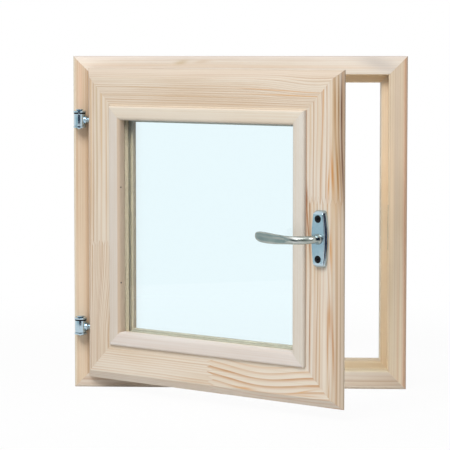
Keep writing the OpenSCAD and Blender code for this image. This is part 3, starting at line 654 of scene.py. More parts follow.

# %% [markdown]
# Four boards of one species still differ, so each jamb has a heart and tones of its own. A mark is a long
# soft spot of another tone, (along, across, run, wide, slope, tone, strength) in millimetres: a streak, a
# smudge, a dark line along a mitre or a lighter stretch, and a few are painted light: a painted shadow,
# shade or highlight. Inner tones start at a distance from the outer edge and go on inwards, and they are
# painted light too: warm bounced light in the frame's rebate, and shade on the sash's lip and a bead behind
# the glass. The lock jamb is let in for the strike plate with exact Booleans.

# %% The frame
RUST, ROSE, CREAM = (186, 128, 90), (226, 190, 164), (240, 228, 212)
ALL_LONG = 2000                                     # a mark that runs the member's whole length
# The inner tone of each frame member is painted light: the warm light bounced round the rebate.
FRAME_WOOD = {
    "left": frame_wood(
        "jamb_pine_left", "left", heart=(-60, 20), ring=2.3, seed=1.3, figure=0.8, warm=0.5,
        tones=((216, 202, 180), (208, 186, 158), (192, 154, 118), (164, 116, 80)),
        inside=[(20.5, (226, 196, 150), 0.3)],
        marks=[
            (90, 7.0, 110, 9.0, 0, (226, 205, 180), 0.75), (310, 12.5, 100, 6.0, 0, (203, 173, 141), 0.7),
            (120, 14.6, 150, 3.0, 0, (217, 188, 156), 0.6), (376, 14.9, 18, 0.8, -1.0, (158, 116, 88), 0.85),
            (195, 1.0, ALL_LONG, 1.6, 0, (216, 206, 186), 0.8), (300, 4.4, 130, 0.5, 0.004, RUST, 0.6),
            (345, 8.0, 60, 3.2, 0.006, ROSE, 0.5), (195, 4.6, ALL_LONG, 0.6, 0, (196, 168, 138), 0.5),
            # The next spot is painted shadow: the sash's shadow on the jamb beside its edge.
            (195, 16.4, ALL_LONG, 0.9, 0, (170, 132, 96), 0.6)]),
    "right": frame_wood(
        "jamb_pine_right", "right", heart=(-70, 26), ring=2.6, seed=4.1, figure=0.4,
        tones=((224, 208, 184), (213, 193, 165), (196, 154, 118), (164, 116, 82)),
        inside=[(20.5, (232, 208, 176), 0.55)],
        marks=[
            # The first two spots are painted light and shade on the stop: lighter at mid-height, darker at
            # the foot.
            (200, 26.0, 70, 9.0, 0, (246, 216, 176), 0.6), (20, 26.0, 90, 9.0, 0, (196, 170, 132), 0.65),
            (195, 31.0, ALL_LONG, 1.3, 0, (196, 188, 176), 0.75),
            (215, 17.5, 60, 2.2, 0, (240, 216, 184), 0.8), (60, 10.0, 90, 1.1, 0, (204, 162, 120), 0.75),
            (195, 2.2, ALL_LONG, 2.4, 0, (213, 172, 142), 0.85),
            (195, 2.9, ALL_LONG, 0.7, 0, (192, 150, 122), 0.7),
            (300, 12.0, 150, 4.0, 0, (206, 186, 168), 0.6)]),
    "top": frame_wood(
        "head_pine", "top", heart=(-90, 40), ring=2.6, seed=7.7, figure=0.3, warm=0.3,
        tones=((239, 228, 214), (232, 217, 199), (218, 190, 158), (196, 154, 116)),
        inside=[(20.5, (236, 198, 140), 0.6)],
        marks=[
            (195, 0.6, ALL_LONG, 3.2, 0, (222, 210, 200), 0.9),
            (127, 7.2, 8, 2.6, -0.2, (206, 184, 148), 0.7), (151, 6.4, 9, 1.8, -0.1, (214, 188, 158), 0.6),
            (200, 12.0, 220, 2.0, 0.008, (232, 204, 174), 0.5),
            (356, 8.0, 26, 9.0, 0.3, (203, 194, 186), 0.8)]),
    "bottom": frame_wood(
        "sill_pine", "bottom", heart=(70, 90), ring=3.0, seed=11.2, figure=0.5,
        tones=((214, 201, 186), (206, 187, 166), (192, 158, 126), (164, 120, 84)),
        inside=[(20.5, (206, 184, 148), 0.7)],
        marks=[
            (360, 21.5, 60, 1.6, 0, (224, 212, 186), 0.7)]),
}
FRAME_NODES = {"left": "frame_left_jamb", "right": "frame_right_jamb", "top": "frame_head",
               "bottom": "frame_sill"}
REBATE_X, STRIKE_V, AXIS_Z = FRAME_W / 2 - FACE, 7.5, HANDLE_Z + MARGIN


def strike_pocket(depth, half_width, below, above):
    """A pocket in the lock jamb's rebate, from so far below the lever's axis to so far above it."""
    return block((REBATE_X - 1, STRIKE_V - half_width, AXIS_Z - below),
                 (REBATE_X + depth, STRIKE_V + half_width, AXIS_Z + above))


PLATE_POCKET, TONGUE_POCKET = (1.52, 6.05, 33.6, 19.9), (11.0, 2.3, 19.6, 5.8)
for side, node in FRAME_NODES.items():
    mesh = member(FRAME_SECTION, side, FRAME_W, FRAME_H, FRAME_WOOD[side])
    if side == "right":
        mesh = combined(mesh, [strike_pocket(*PLATE_POCKET), strike_pocket(*TONGUE_POCKET)])
    mesh.transform(IN_METRES @ Matrix.Translation((0, FRONT_Y, 0)))
    piece(node.replace("frame_", "planed_"), mesh, "frame", [node])
print("frame members:", list(FRAME_NODES.values()))

# %% [markdown]
# The sash is laid up from offcuts: three of its members are two pieces, finger-jointed where the figure
# jumps. Its bevel catches dark and light lines along the grain, and those are marks too. Swells push the
# rings aside, which makes the tall flames of a board sawn near the heart. The lock stile is morticed for
# the tongue.

# %% The sash
FINE_TONES = ((215, 204, 188), (205, 188, 167), (190, 154, 116), (158, 112, 74))
# The lip behind the glass, in painted shade: its front, a dark line at its corner, then two tones of its
# inner edge.
REVEAL_SHADE = [(57.0, (174, 150, 118), 0.92), (57.8, (116, 100, 80), 0.85), (58.8, (176, 152, 122), 0.92),
          (60.6, (158, 134, 110), 0.95)]
SASH_WOOD = {
    "left": sash_wood(
        "stile_pine_hinge", "left", heart=(-80, 30), ring=2.5, seed=2.4, figure=1.2, warm=0.35,
        tones=FINE_TONES, inside=REVEAL_SHADE, wander=1.1,
        joint={"at": 156, "tooth": 7, "pitch": 4.2, "ring": 6.0, "figure": 0.85, "wander": 0.5},
        swells=[(40, 30, 70, 16, 0.06, 9, 1)],
        marks=[
            # The second spot is painted shade, along the outer edge where the sash meets the frame.
            (300, 5.2, 120, 5.2, 0, (198, 174, 148), 0.9), (181, 0.6, ALL_LONG, 1.1, 0, (172, 130, 90), 0.8),
            (290, 13.5, 150, 1.0, 0, (206, 170, 124), 0.7), (290, 21.5, 130, 0.8, 0, (192, 176, 144), 0.7),
            (290, 29.0, 130, 1.0, 0, (200, 168, 126), 0.7), (250, 36.5, 110, 0.8, 0, (196, 164, 124), 0.7),
            (181, 42.6, ALL_LONG, 0.8, 0, (198, 178, 152), 0.6)]),
    "right": sash_wood(
        "stile_pine_lock", "right", heart=(-120, 44), ring=4.6, seed=5.9, figure=1.0, wander=0.45,
        inside=REVEAL_SHADE, warm=0.4,
        joint={"at": 219, "tooth": 8.5, "pitch": 4.4, "ring": 4.8, "figure": 0.95, "heart_v": 52},
        swells=[(72, 13.0, 62, 4.6, 0, 5.5, 1), (150, 27.0, 70, 12.0, 0, 2.0, 1),
                (300, 20.0, 60, 9.0, 0.02, 2.0, 2)],
        marks=[
            (300, 7.0, 90, 4.6, 0, (208, 184, 152), 0.85), (70, 4.0, 130, 5.0, 0, (214, 196, 174), 0.8),
            (196, 40.0, 30, 0.9, 0.085, (160, 98, 48), 1.0), (226, 41.6, 12, 1.2, 0, (134, 80, 44), 0.95),
            (250, 42.4, 130, 0.6, 0, (166, 110, 64), 0.9), (330, 20.5, 60, 0.8, -0.03, (194, 148, 104), 0.9),
            (240, 13.6, 18, 1.0, -0.05, (196, 140, 80), 0.9), (330, 0.7, 70, 1.0, 0, (158, 124, 92), 0.8),
            (324, 7.4, 46, 0.9, 0.006, (160, 112, 52), 1.0), (252, 5.2, 34, 0.85, 0.036, (164, 118, 62), 1.0),
            (324, 4.5, 44, 0.6, 0, (142, 104, 64), 1.0), (258, 3.3, 36, 0.65, 0.028, (146, 104, 62), 1.0),
            (318, 2.5, 44, 0.8, 0, (90, 50, 22), 1.0), (258, 1.4, 42, 0.75, 0.024, (84, 44, 18), 1.0),
            (248, 8.9, 30, 1.4, 0.055, (192, 130, 60), 1.0), (172, 10.6, 18, 1.2, 0.02, (202, 148, 96), 0.95),
            (215, 8.0, 30, 2.0, 0, (208, 186, 156), 0.7), (181, 0.3, ALL_LONG, 0.4, 0, (160, 136, 110), 0.6),
            (62, 18.8, 75, 3.0, 0, (222, 213, 199), 0.85), (62, 24.5, 75, 0.8, 0, (190, 152, 114), 0.9),
            (62, 30.1, 75, 0.6, 0, (198, 164, 130), 0.8), (98, 12.1, 19, 2.6, 0, (188, 146, 106), 1.0),
            (74, 14.0, 36, 1.2, 0, (188, 146, 106), 1.0), (70, 8.3, 34, 0.9, 0.03, (192, 148, 110), 1.0),
            (48, 11.0, 28, 1.2, 0, (218, 204, 188), 0.8), (80, 5.3, 120, 0.75, 0, (176, 140, 104), 0.95),
            (80, 2.7, 120, 0.45, 0, (160, 134, 110), 0.85), (80, 1.4, 120, 0.4, 0, (174, 152, 130), 0.7)]),
    "top": sash_wood(
        "rail_pine_top", "top", heart=(-95, 34), ring=2.3, seed=8.3, figure=0.75, warm=0.5, wander=0.5,
        # Its inner tone is painted shade on the lip behind the glass.
        tones=FINE_TONES, inside=[(57.0, (196, 180, 154), 0.92)],
        swells=[(330, 18, 46, 16, 0, -6, 0)],
        marks=[
            (300, 27.5, 46, 0.7, 0.02, (200, 150, 94), 0.8), (290, 22.5, 60, 0.6, 0.04, (198, 146, 92), 0.75),
            (150, 30.0, 120, 0.8, 0, (190, 162, 130), 0.7), (110, 21.0, 90, 0.8, 0.02, (188, 160, 128), 0.6),
            (181, 9.8, ALL_LONG, 0.8, 0, CREAM, 0.2), (181, 3.5, ALL_LONG, 4.0, 0, (221, 206, 189), 0.7),
            # The last spot is a painted highlight along the rail's edge at the top bead.
            (181, 42.6, ALL_LONG, 1.1, 0, (238, 224, 204), 0.95)]),
    "bottom": sash_wood(
        "rail_pine_bottom", "bottom", heart=(-90, 38), ring=2.8, seed=12.6, figure=0.6, warm=0.35,
        tones=((219, 209, 194), (209, 192, 170), (202, 160, 116), (180, 130, 84)),
        # Its inner tones are painted shade on the lip behind the glass, darker further in.
        inside=[(57.0, (182, 172, 154), 0.92), (58.3, (148, 134, 112), 0.92)],
        joint={"at": 184, "tooth": 9, "pitch": 5.6, "ring": 6.4, "figure": 1.15, "heart_u": -70,
               "heart_v": 30},
        swells=[(260, 22, 60, 40, 0, 10, 2)],
        marks=[
            (230, 4.2, 220, 4.6, 0, (222, 210, 197), 0.65), (300, 5.0, 60, 1.0, 0, (192, 156, 120), 0.5),
            (236, 12.2, 14, 1.2, 0, (206, 162, 116), 0.9), (314, 15.5, 20, 0.9, 0.24, (206, 168, 126), 0.85),
            (322, 12.0, 18, 0.8, 0.05, (202, 164, 124), 0.8)]),
}
SASH_NODES = {"left": "sash_hinge_stile", "right": "sash_lock_stile", "top": "sash_top_rail",
              "bottom": "sash_bottom_rail"}
MORTISE_LEFT, MORTISE_RIGHT, MORTISE_DOWN, MORTISE_UP = 7.3, 13.5, 23.3, 7.3       # from the lever's axis
MORTISE_FRONT, MORTISE_BACK = 18.6, 22.4
mortise = block((HANDLE_X - MORTISE_LEFT, MORTISE_FRONT, HANDLE_Z - MORTISE_DOWN),
                (HANDLE_X + MORTISE_RIGHT, MORTISE_BACK, HANDLE_Z + MORTISE_UP))
for side, node in SASH_NODES.items():
    mesh = member(SASH_SECTION, side, SASH_W, SASH_H, SASH_WOOD[side])
    if side == "right":
        mesh = combined(mesh, [mortise])
    mesh.transform(IN_METRES @ SHUT_TO_OPEN)
    piece(node.replace("sash_", "planed_"), mesh, "sash", [node])
print("sash members:", list(SASH_NODES.values()))

# %% [markdown]
# The beads are cut from clearer, greyer wood than the sash, with hardly a ring to see, so their rings are
# wide and their figure is faint. Each one's tones are set by how the light falls on its side of the glass.

# %% The glazing beads
BEAD_TONES = {
    "bottom": ((216, 209, 203), (211, 200, 191)), "left": ((206, 198, 188), (201, 189, 175)),
    "top": ((212, 203, 188), (207, 193, 174)), "right": ((207, 201, 191), (203, 192, 178))}
for number, side in enumerate(QUARTER):
    # The left bead's inner tone is painted shade; the top bead's spot is a painted highlight on its upper
    # edge.
    wood = sash_wood("bead_pine_" + side, side, heart=(30, 160), ring=6.5, seed=20.0 + number, figure=0.15,
                     tones=(*BEAD_TONES[side], (196, 176, 156), (186, 158, 134)),
                     inside=[(55.8, (190, 166, 140), 0.75)] if side == "left" else (),
                     marks=[(181, 43.3, ALL_LONG, 1.0, 0, (234, 221, 204), 0.9)] if side == "top" else ())
    mesh = member(BEAD_SECTION, side, SASH_W, SASH_H, wood)
    mesh.transform(IN_METRES @ SHUT_TO_OPEN)
    piece("rounded_bead_" + side, mesh, "sash", ["bead_" + side])

# %% [markdown]
# ## Metal, glass and rubber
# Zinc plating on pressed steel is bluish and cloudy, with a fine grit that spreads its highlights. The
# lever is a warmer grey that hands have worn to a satin, with painted highlights and dark painted
# reflections round its waist. Neither is one value: cloud noise moves the colour and roughness a little, and
# grit goes to the bump.
# Glass keeps its numbers on the shader itself, because they don't vary.

# %% Metal
AT_HANDLE = SHUT_TO_OPEN @ Matrix.Translation((HANDLE_X, 0, HANDLE_Z))
GRIT_DEPTH = 0.000012
# Painted highlights and dark painted reflections round the lever's waist: (along, height, run, wide,
# slope), tone and strength.
WAIST_PAINTED_REFLECTIONS = [
    ((19.5, 1.2, 6.5, 1.1, 0.05), (240, 243, 241), 0.9), ((16.5, -3.0, 6.5, 0.7, 0.0), (230, 235, 236), 0.7),
    ((7.5, -0.6, 6.5, 1.5, -0.05), (84, 92, 82), 0.75), ((20.5, -1.2, 5.5, 0.95, 0.23), (40, 52, 56), 0.95)]


def metal_finish(name, tones, rough, clouds, grit, spots=()):
    """Cloudy metal between two tones, roughness as (spread, middle), and spots of painted highlights and
    reflections.
    """
    material, m = finish(name)
    cloud = m.cloud((clouds, clouds, clouds))
    metal = m.blend((cloud + 0.5).ease(0.2, 0.8), *(tint(*tone) for tone in tones))
    if spots:
        to_lever = AT_HANDLE.inverted()
        along, _, height = m.parts(m.node("ShaderNodeMapping", {"vector_type": "POINT"}, {
            "Vector": m.node("ShaderNodeTexCoord")["Object"], "Location": to_lever.to_translation() * MM,
            "Rotation": tuple(to_lever.to_euler())})[0])
        # The spots are painted highlights and painted dark reflections, held to the lever's own place.
        for spot, tone, strength in spots:
            metal = m.blend(bell(along * -METRE, height * METRE, spot) * strength, metal, tint(*tone))
    spread, middle = rough
    coat_with(m, {"Base Color": metal, "Metallic": 1.0, "Roughness": cloud * spread + middle},
              bump=m.cloud(*grit), depth=GRIT_DEPTH)
    return material


ZINC = metal_finish("zinc_plate", [(176, 198, 210), (194, 212, 222)], (0.12, 0.2), 90.0, ((2600.0,) * 3, 2.0))
LEVER_METAL = metal_finish("satin_lever_metal", [(154, 162, 158), (176, 181, 174)], (0.14, 0.23), 80.0,
                           ((900.0, 900.0, 3600.0), 3.0), WAIST_PAINTED_REFLECTIONS)
print("metals:", ZINC.name, LEVER_METAL.name)

# %% [markdown]
# Screws, strips and blocks are small, so they share one plain finish: two near tones, a little speckle and
# a roughness. Only their colours say what they are made of. The slots of the record are the keys here.

# %% Glass, rubber and the rest
SPECKS, SPECK_DEPTH = 300.0, 0.00003


def plain_finish(name, first, second, rough, shine=0.5):
    """Two tones mixed by a fine speckle, which also roughens the surface a little."""
    material, m = finish(name)
    speck = m.cloud((SPECKS, SPECKS, SPECKS))
    coat_with(m, {
        "Base Color": m.blend((speck + 0.5).ease(0.25, 0.75), tint(*first), tint(*second)),
        "Roughness": speck * 0.2 + rough,
        "Specular IOR Level": shine,
    }, bump=speck, depth=SPECK_DEPTH)
    return material


def glass_finish():
    """Clear glass with a faint cold tint."""
    material, m = finish("float_glass")
    coat_with(m, {
        "Base Color": tint(245, 253, 255), "Roughness": 0.0, "IOR": 1.5, "Transmission Weight": 1.0})
    return material


FINISH = {
    "zinc": ZINC,
    "lever_steel": LEVER_METAL,
    "black_screw": plain_finish("black_oxide", (8, 9, 13), (16, 17, 22), 0.3, shine=0.15),
    "brad_steel": plain_finish("brad_steel", (40, 34, 30), (58, 50, 44), 0.5),
    "glass": glass_finish(),
    "spacer_aluminium": plain_finish("spacer_metal", (190, 170, 142), (204, 184, 156), 0.5),
    "sealant": plain_finish("dark_sealant", (126, 112, 90), (140, 126, 104), 0.6),
    "seal_rubber": plain_finish("silicone_strip", (205, 197, 184), (218, 211, 200), 0.5),
    "block_plastic": plain_finish("block_plastic", (52, 70, 88), (60, 80, 98), 0.5),
    "dowel_wood": plain_finish("turned_beech", (214, 180, 138), (226, 196, 156), 0.55),
}

# %% [markdown]
# Metal parts are shaped in millimetres about a handy point, such as a pin's middle. One function then
# paints such a mesh, carries it to its place and hands it over as a piece.

# %% Hand a painted part over
def finished(mesh, name, body, finish_name, nodes, matrix=Matrix(), sharp=40.0):
    """Paints a mesh made in millimetres, carries it to its place and hands it over."""
    mesh.transform(IN_METRES @ matrix)
    mesh.materials.clear()
    mesh.materials.append(FINISH[finish_name])
    return piece(name, mesh, body, nodes, sharp)


def soft_step(value, low, high):
    """0 below low, 1 above high and a soft step between, for plain numbers."""
    share = min(1.0, max(0.0, (value - low) / (high - low)))
    return share * share * (3 - 2 * share)


print("finishes:", len(FINISH))

# %% [markdown]
# ## Hinges
# Each hinge is a stamped bracket with two ears, screwed to the jamb, a headed pin through the ears, and an
# eyebolt whose barrel turns on the pin and whose threaded stud screws into the stile. The pin's head is
# flared and its tail is peened over. The thread is a true helix: the radius of each point dips with its
# height and its angle.

# %% Bracket, pin and eyebolt
PIN_R, BARREL_R, BARREL_H = 2.5, 6.7, 14.0
GAP_LOW, GAP_HIGH = 0.3, 1.6                        # between the barrel and the ears under and over it
EAR_T, EAR_R, EAR_FROM, EAR_TURN = 1.8, 7.3, 15, 210      # thickness, radius, first angle, how far round
BRACKET_LEFT, BRACKET_RIGHT = 2 - FRAME_W / 2, 13 - FRAME_W / 2
BRACKET_T, BRACKET_IN, EAR_BACK = 2.5, 0.5, 4.0       # thickness, reach into an ear, an ear's edge behind
NEAR_AXIS = 0.01                                    # a turned profile ends here, short of its own axis
BORE_ROOM, BORE_PAST = 0.05, 2
STUD_R, STUD_L, STUD_TURN, STUD_FROM = 3.75, 36.0, 25.0, 8.5
THREAD_PITCH, THREAD_DEPTH, THREAD_ROWS, THREAD_STEPS = 1.25, 0.55, 8, 32
ON_PINS = Matrix.Translation((PIVOT.x, PIVOT.y, 0))


def bore(low, high):
    """A rod to cut the pin's hole with, past both ends."""
    return turned([(PIN_R + BORE_ROOM, low - BORE_PAST), (PIN_R + BORE_ROOM, high + BORE_PAST)], 32)


def bracket_mesh(middle):
    """One bracket about its pin's height, in the frame's own place."""
    low = middle - BARREL_H / 2 - GAP_LOW - EAR_T
    high = middle + BARREL_H / 2 + GAP_HIGH
    left, right, front = BRACKET_LEFT, BRACKET_RIGHT, FRONT_Y - BRACKET_T
    ear = [(PIVOT.x + EAR_R * math.cos(a), PIVOT.y + EAR_R * math.sin(a)) for a in
           (math.radians(EAR_FROM - EAR_TURN * k / 30) for k in range(31))]
    outline = [(right, FRONT_Y), (right, PIVOT.y + EAR_BACK), *ear, (left, FRONT_Y)]
    plates = [pressed(outline, under, under + EAR_T) for under in (low, high)]
    base = pressed([(left, front), (right, front), (right, FRONT_Y), (left, FRONT_Y)],
                   low + BRACKET_IN, high + EAR_T - BRACKET_IN)
    hole = bore(low, high + EAR_T)
    hole.transform(ON_PINS)
    sink = turned([(NEAR_AXIS, -6.0), (2.6, -6.0), (2.6, -2.6), (4.9, -0.3), (4.9, 1.0),
                   (NEAR_AXIS, 1.0)], 32)
    sink.transform(Matrix.Translation(((left + right) / 2, front, middle)) @ FACE_OUT)
    return combined(combined(base, plates, "UNION"), [hole, sink], bevel=0.3)


def pin_mesh(middle):
    """A pin with a flared head over the upper ear and a peened tail under the lower."""
    low = middle - BARREL_H / 2 - GAP_LOW - EAR_T
    top = middle + BARREL_H / 2 + GAP_HIGH + EAR_T
    tail = [(NEAR_AXIS, -1.6), (1.6, -1.6), (2.45, -1.25), (2.75, -0.7), (2.7, -0.1), (PIN_R, 0.0)]
    head = [(PIN_R, 0.02), (3.0, 0.1), (3.5, 0.5), (4.2, 1.1), (4.5, 1.4), (4.5, 1.7), (4.25, 1.95),
            (3.6, 2.0), (NEAR_AXIS, 1.85)]
    profile = [(r, low + z) for r, z in tail] + [(r, top + z) for r, z in head]
    mesh = turned(profile, 48)
    mesh.transform(ON_PINS)
    return mesh


def stud_mesh():
    """The threaded stud, up Z."""
    rings = []
    count = int((STUD_L - STUD_FROM) / THREAD_PITCH * THREAD_ROWS)
    for row in range(count + 1):
        along = STUD_FROM + (STUD_L - STUD_FROM) * row / count
        taper = min(1.0, (STUD_L - along) / 2.5 + 0.35)
        ring = []
        for k in range(THREAD_STEPS):
            turns = along / THREAD_PITCH - k / THREAD_STEPS
            dip = abs(turns - round(turns)) * 2 * THREAD_DEPTH
            radius = (STUD_R - dip) * taper
            angle = 2 * math.pi * k / THREAD_STEPS
            ring.append((radius * math.cos(angle), radius * math.sin(angle), along))
        rings.append(ring)
    return skin(rings)


def eyebolt_mesh():
    """One eyebolt about its barrel's middle, with its stud along +X."""
    half = BARREL_H / 2
    lower = [(NEAR_AXIS, -half), (BARREL_R - 0.6, -half), (BARREL_R - 0.12, -half + 0.15),
             (BARREL_R, -half + 0.6)]
    barrel = turned(lower + [(r, -z) for r, z in reversed(lower)], 56)
    collar = turned([(NEAR_AXIS, 0.0), (4.1, 0.0), (4.1, 5.6), (4.5, 6.6), (4.7, 7.1), (4.7, 8.2),
                     (4.45, 8.6), (3.6, 8.7), (NEAR_AXIS, 8.7)], 48)
    stud = stud_mesh()
    for part in (collar, stud):
        part.transform(Matrix.Rotation(math.radians(90), 4, "Y"))
    return combined(combined(barrel, [collar, stud], "UNION"), [bore(-half, half)])


print("turns of thread on a stud:", round((STUD_L - STUD_FROM) / THREAD_PITCH))

# %% [markdown]
# A black washer fills the gap over each barrel and keeps steel from grinding on steel; it is also painted
# shade, a dark disc that makes the gap as dark as its shade. The bracket, the pin and the washer belong to
# the frame, and only the eyebolt swings with the sash.

# %% Two hinges
HINGE_END = 74                                      # from the frame's end to a hinge
EYE_OUT = 5                                         # from the sash's edge out to the pins
HINGE_Z = {"top": FRAME_H - HINGE_END, "bottom": HINGE_END}
WASHER_IN, WASHER_OUT = PIN_R + 0.1, BARREL_R - 0.1
WASHER = [(WASHER_IN, 0.05), (WASHER_OUT, 0.05), (BARREL_R + 0.15, 0.3), (BARREL_R + 0.15, GAP_HIGH - 0.3),
          (WASHER_OUT, GAP_HIGH - 0.05), (WASHER_IN, GAP_HIGH - 0.05)]
for place, middle in HINGE_Z.items():
    # A dark disc that stands in for the shade in the gap, as well as a washer.
    washer = skin([[(r * math.cos(a), r * math.sin(a), z) for r, z in WASHER] for a in
                   (2 * math.pi * k / 48 for k in range(48))], closed_row=True)
    finished(washer, f"dark_gap_washer_{place}", "frame", "black_screw", [],
             Matrix.Translation((PIVOT.x, PIVOT.y, middle + BARREL_H / 2)))
    finished(bracket_mesh(middle), f"bracket_{place}", "frame", "zinc", [f"hinge_{place}_bracket"])
    finished(pin_mesh(middle), f"hinge_pin_{place}", "frame", "zinc", [f"hinge_{place}_pin"])
    at_eye = Matrix.Translation((-SASH_W / 2 - EYE_OUT, PIN_BEHIND, middle - MARGIN))
    finished(eyebolt_mesh(), f"eyebolt_{place}", "sash", "zinc", [f"hinge_{place}_eyebolt"],
             SHUT_TO_OPEN @ at_eye @ Matrix.Rotation(math.radians(STUD_TURN), 4, "Z"))
print("hinges at:", HINGE_Z)

# %% [markdown]
# ## Handle
# The plate is pressed metal with bowed sides, a rounded shoulder and ends that slope down. Rings shrink
# from its outline towards a line down its middle, and each point's height follows from how far in it lies.

# %% Plate
PLATE_H, PLATE_W, PLATE_END_W, PLATE_T, PLATE_CORNER = 61.0, 18.5, 12.5, 7.5, 3.5
PLATE_EDGE = [(0.0, 0.0), (0.0, 0.5), (0.06, 2.4), (0.12, 4.4), (0.32, 4.6), (0.4, 5.2), (0.5, 6.2),
              (0.62, 6.8), (0.85, 7.2), (1.2, 7.42), (1.7, 7.5)]          # how far in, and how high
PLATE_FLAT = (0.24, 0.29, 0.34, 0.4, 0.48, 0.6, 0.75, 0.9, 1.0)           # further in, as shares of the way
SPINE_SHORT = 9.0                                   # from the plate's end to the end of its middle line
FALL_FROM, FALL = 26.2, 0.36                        # the ends slope down from here, by this share
SCREW_Z = (-21.5, 21.5)


def plate_outline():
    """Points of the plate's outline as (x, z), anticlockwise, with rounded corners."""
    bow, end, corner = (PLATE_W - PLATE_END_W) / 2, PLATE_H / 2, PLATE_CORNER
    side = [(PLATE_W / 2 - bow * (z / end) ** 2, z) for z in
            [(-1 + k / 15) * (end - corner) for k in range(31)]]
    inner = side[-1][0] - corner
    arc = [(inner + corner * math.cos(a), end - corner + corner * math.sin(a)) for a in
           [math.radians(12 + 78 * k / 8) for k in range(9)]]
    right = [(x, -z) for x, z in reversed(arc)] + side + arc
    return right + [(-x, z) for x, z in reversed(right)]


def handle_plate_mesh():
    """The plate on the sash's face, with its two screw holes sunk."""
    outline = plate_outline()
    spine = PLATE_H / 2 - SPINE_SHORT
    rings = []
    for inset, height in PLATE_EDGE + [(None, share) for share in PLATE_FLAT]:
        ring = []
        for x, z in outline:
            middle = Vector((0.0, max(-spine, min(spine, z))))
            arm = Vector((x, z)) - middle
            share = inset / arm.length if inset is not None else height
            point = middle + arm * max(1.0 - share, 0.002)
            lift = height if inset is not None else PLATE_T
            slope = 1.0 - FALL * soft_step(abs(point.y), FALL_FROM, PLATE_H / 2)
            ring.append((point.x, -lift * slope if lift > 0.6 else -lift, point.y))
        rings.append(ring)
    sinks = []
    for z in SCREW_Z:
        sink = turned([(NEAR_AXIS, -1.0), (2.1, -1.0), (2.1, 5.1), (4.1, 7.0), (4.1, 9.0),
                       (NEAR_AXIS, 9.0)], 40)
        sink.transform(Matrix.Translation((0, 0, z)) @ FACE_OUT)
        sinks.append(sink)
    return combined(skin(rings), sinks)


finished(handle_plate_mesh(), "handle_back_plate", "sash", "zinc", ["handle_plate"], AT_HANDLE, sharp=50.0)
print("plate:", PLATE_H, "x", PLATE_W, "mm")

# %% [markdown]
# The screws are countersunk, with a hexagonal socket. The head is a turned cone and the socket a rod of six
# sides that is cut out of it. The plate's are black, and the brackets' are zinc like the hinges.

# %% Screws
def socket_screw(head_r, shank_r, length, socket_r, socket_depth):
    """A countersunk screw along -Z with its head's top at z = 0."""
    cone = head_r - shank_r
    body = turned([(NEAR_AXIS, -length), (shank_r * 0.3, -length + 0.6), (shank_r, -length + shank_r * 2.2),
                   (shank_r, -0.3 - cone), (head_r - 0.1, -0.35), (head_r, -0.2), (head_r - 0.25, 0.0),
                   (NEAR_AXIS, 0.0)], 36)
    socket = turned([(NEAR_AXIS, -socket_depth - 0.5), (socket_r, -socket_depth), (socket_r, 1.0),
                     (NEAR_AXIS, 1.0)], 6)
    return combined(body, [socket])


def screws(name, spots, body, finish_name, node, sizes):
    """Equal screws at several spots, as one piece."""
    meshes = []
    for spot in spots:
        mesh = socket_screw(*sizes)
        mesh.transform(spot)
        meshes.append(mesh)
    finished(gathered(name, meshes), name, body, finish_name, [node])
    print(name + ":", len(spots))


PLATE_HEAD_Y = -PLATE_T + 0.25
BRACKET_X, BRACKET_HEAD_Y = (BRACKET_LEFT + BRACKET_RIGHT) / 2, FRONT_Y - BRACKET_T + 0.05
screws("plate_screws", [AT_HANDLE @ Matrix.Translation((0, PLATE_HEAD_Y, z)) @ FACE_OUT for z in SCREW_Z],
       "sash", "black_screw", "handle_screws", (3.8, 2.0, 21.7, 1.35, 1.6))
screws("bracket_screws",
       [Matrix.Translation((BRACKET_X, BRACKET_HEAD_Y, z)) @ FACE_OUT for z in HINGE_Z.values()],
       "frame", "zinc", "hinge_screws", (4.7, 2.45, 29.9, 1.7, 2.0))

# %% [markdown]
# The lever is one casting: a neck comes out of the plate, bends, and runs into a round bar that flattens to
# a dished paddle. It is a row of rings along a path. The path gives each ring's middle and the way it
# faces, and one function gives its height, its thickness and how square it is, all from how far along it
# lies.

# %% Lever
LEVER_L, LEVER_STAND, TIP_RISE, BAR_SAG = 73.0, 21.0, 0.9, 7.2
NECK_FROM, NECK_STRAIGHT, NECK_R = 7.8, 9.5, 4.2
BEND_FROM, BEND_R, BEND_STEPS = 11.2, 5.0, 14
SLANT, SLANT_END, SLANT_STEPS = math.radians(14), 30.0, 16     # the neck leans outwards as far as the end
WAIST_HALF, PADDLE_HALF = (4.45, 3.6), (5.8, 2.2)              # half the height and half the thickness
BAR_STEPS, RING_POINTS = 38, 40


def lever_path():
    """Centre points, with how far each is along the lever from the axis, neck first."""
    path = [((0.0, -NECK_FROM), 0.0), ((0.0, -NECK_STRAIGHT), 0.0)]
    for k in range(BEND_STEPS + 1):
        a = (math.pi / 2 - SLANT) * k / BEND_STEPS
        x = BEND_R * (1 - math.cos(a))
        path.append(((-x, -BEND_FROM - BEND_R * math.sin(a)), x))
    slope, start, stand = math.tan(SLANT), path[-1][1], -path[-1][0][1]
    easing = 2 * (stand + slope * (SLANT_END - start) - LEVER_STAND) / slope
    for k in range(1, SLANT_STEPS + 1):
        x = start + (SLANT_END - start) * k / SLANT_STEPS
        over = max(0.0, x - SLANT_END + easing)
        path.append(((-x, -stand - slope * (x - start) + slope * over * over / (2 * easing)), x))
    far = [SLANT_END + (LEVER_L - SLANT_END) * math.sin(math.radians(90 * k / BAR_STEPS))
           for k in range(1, BAR_STEPS + 1)]
    return path + [((-x, -LEVER_STAND), x) for x in far]


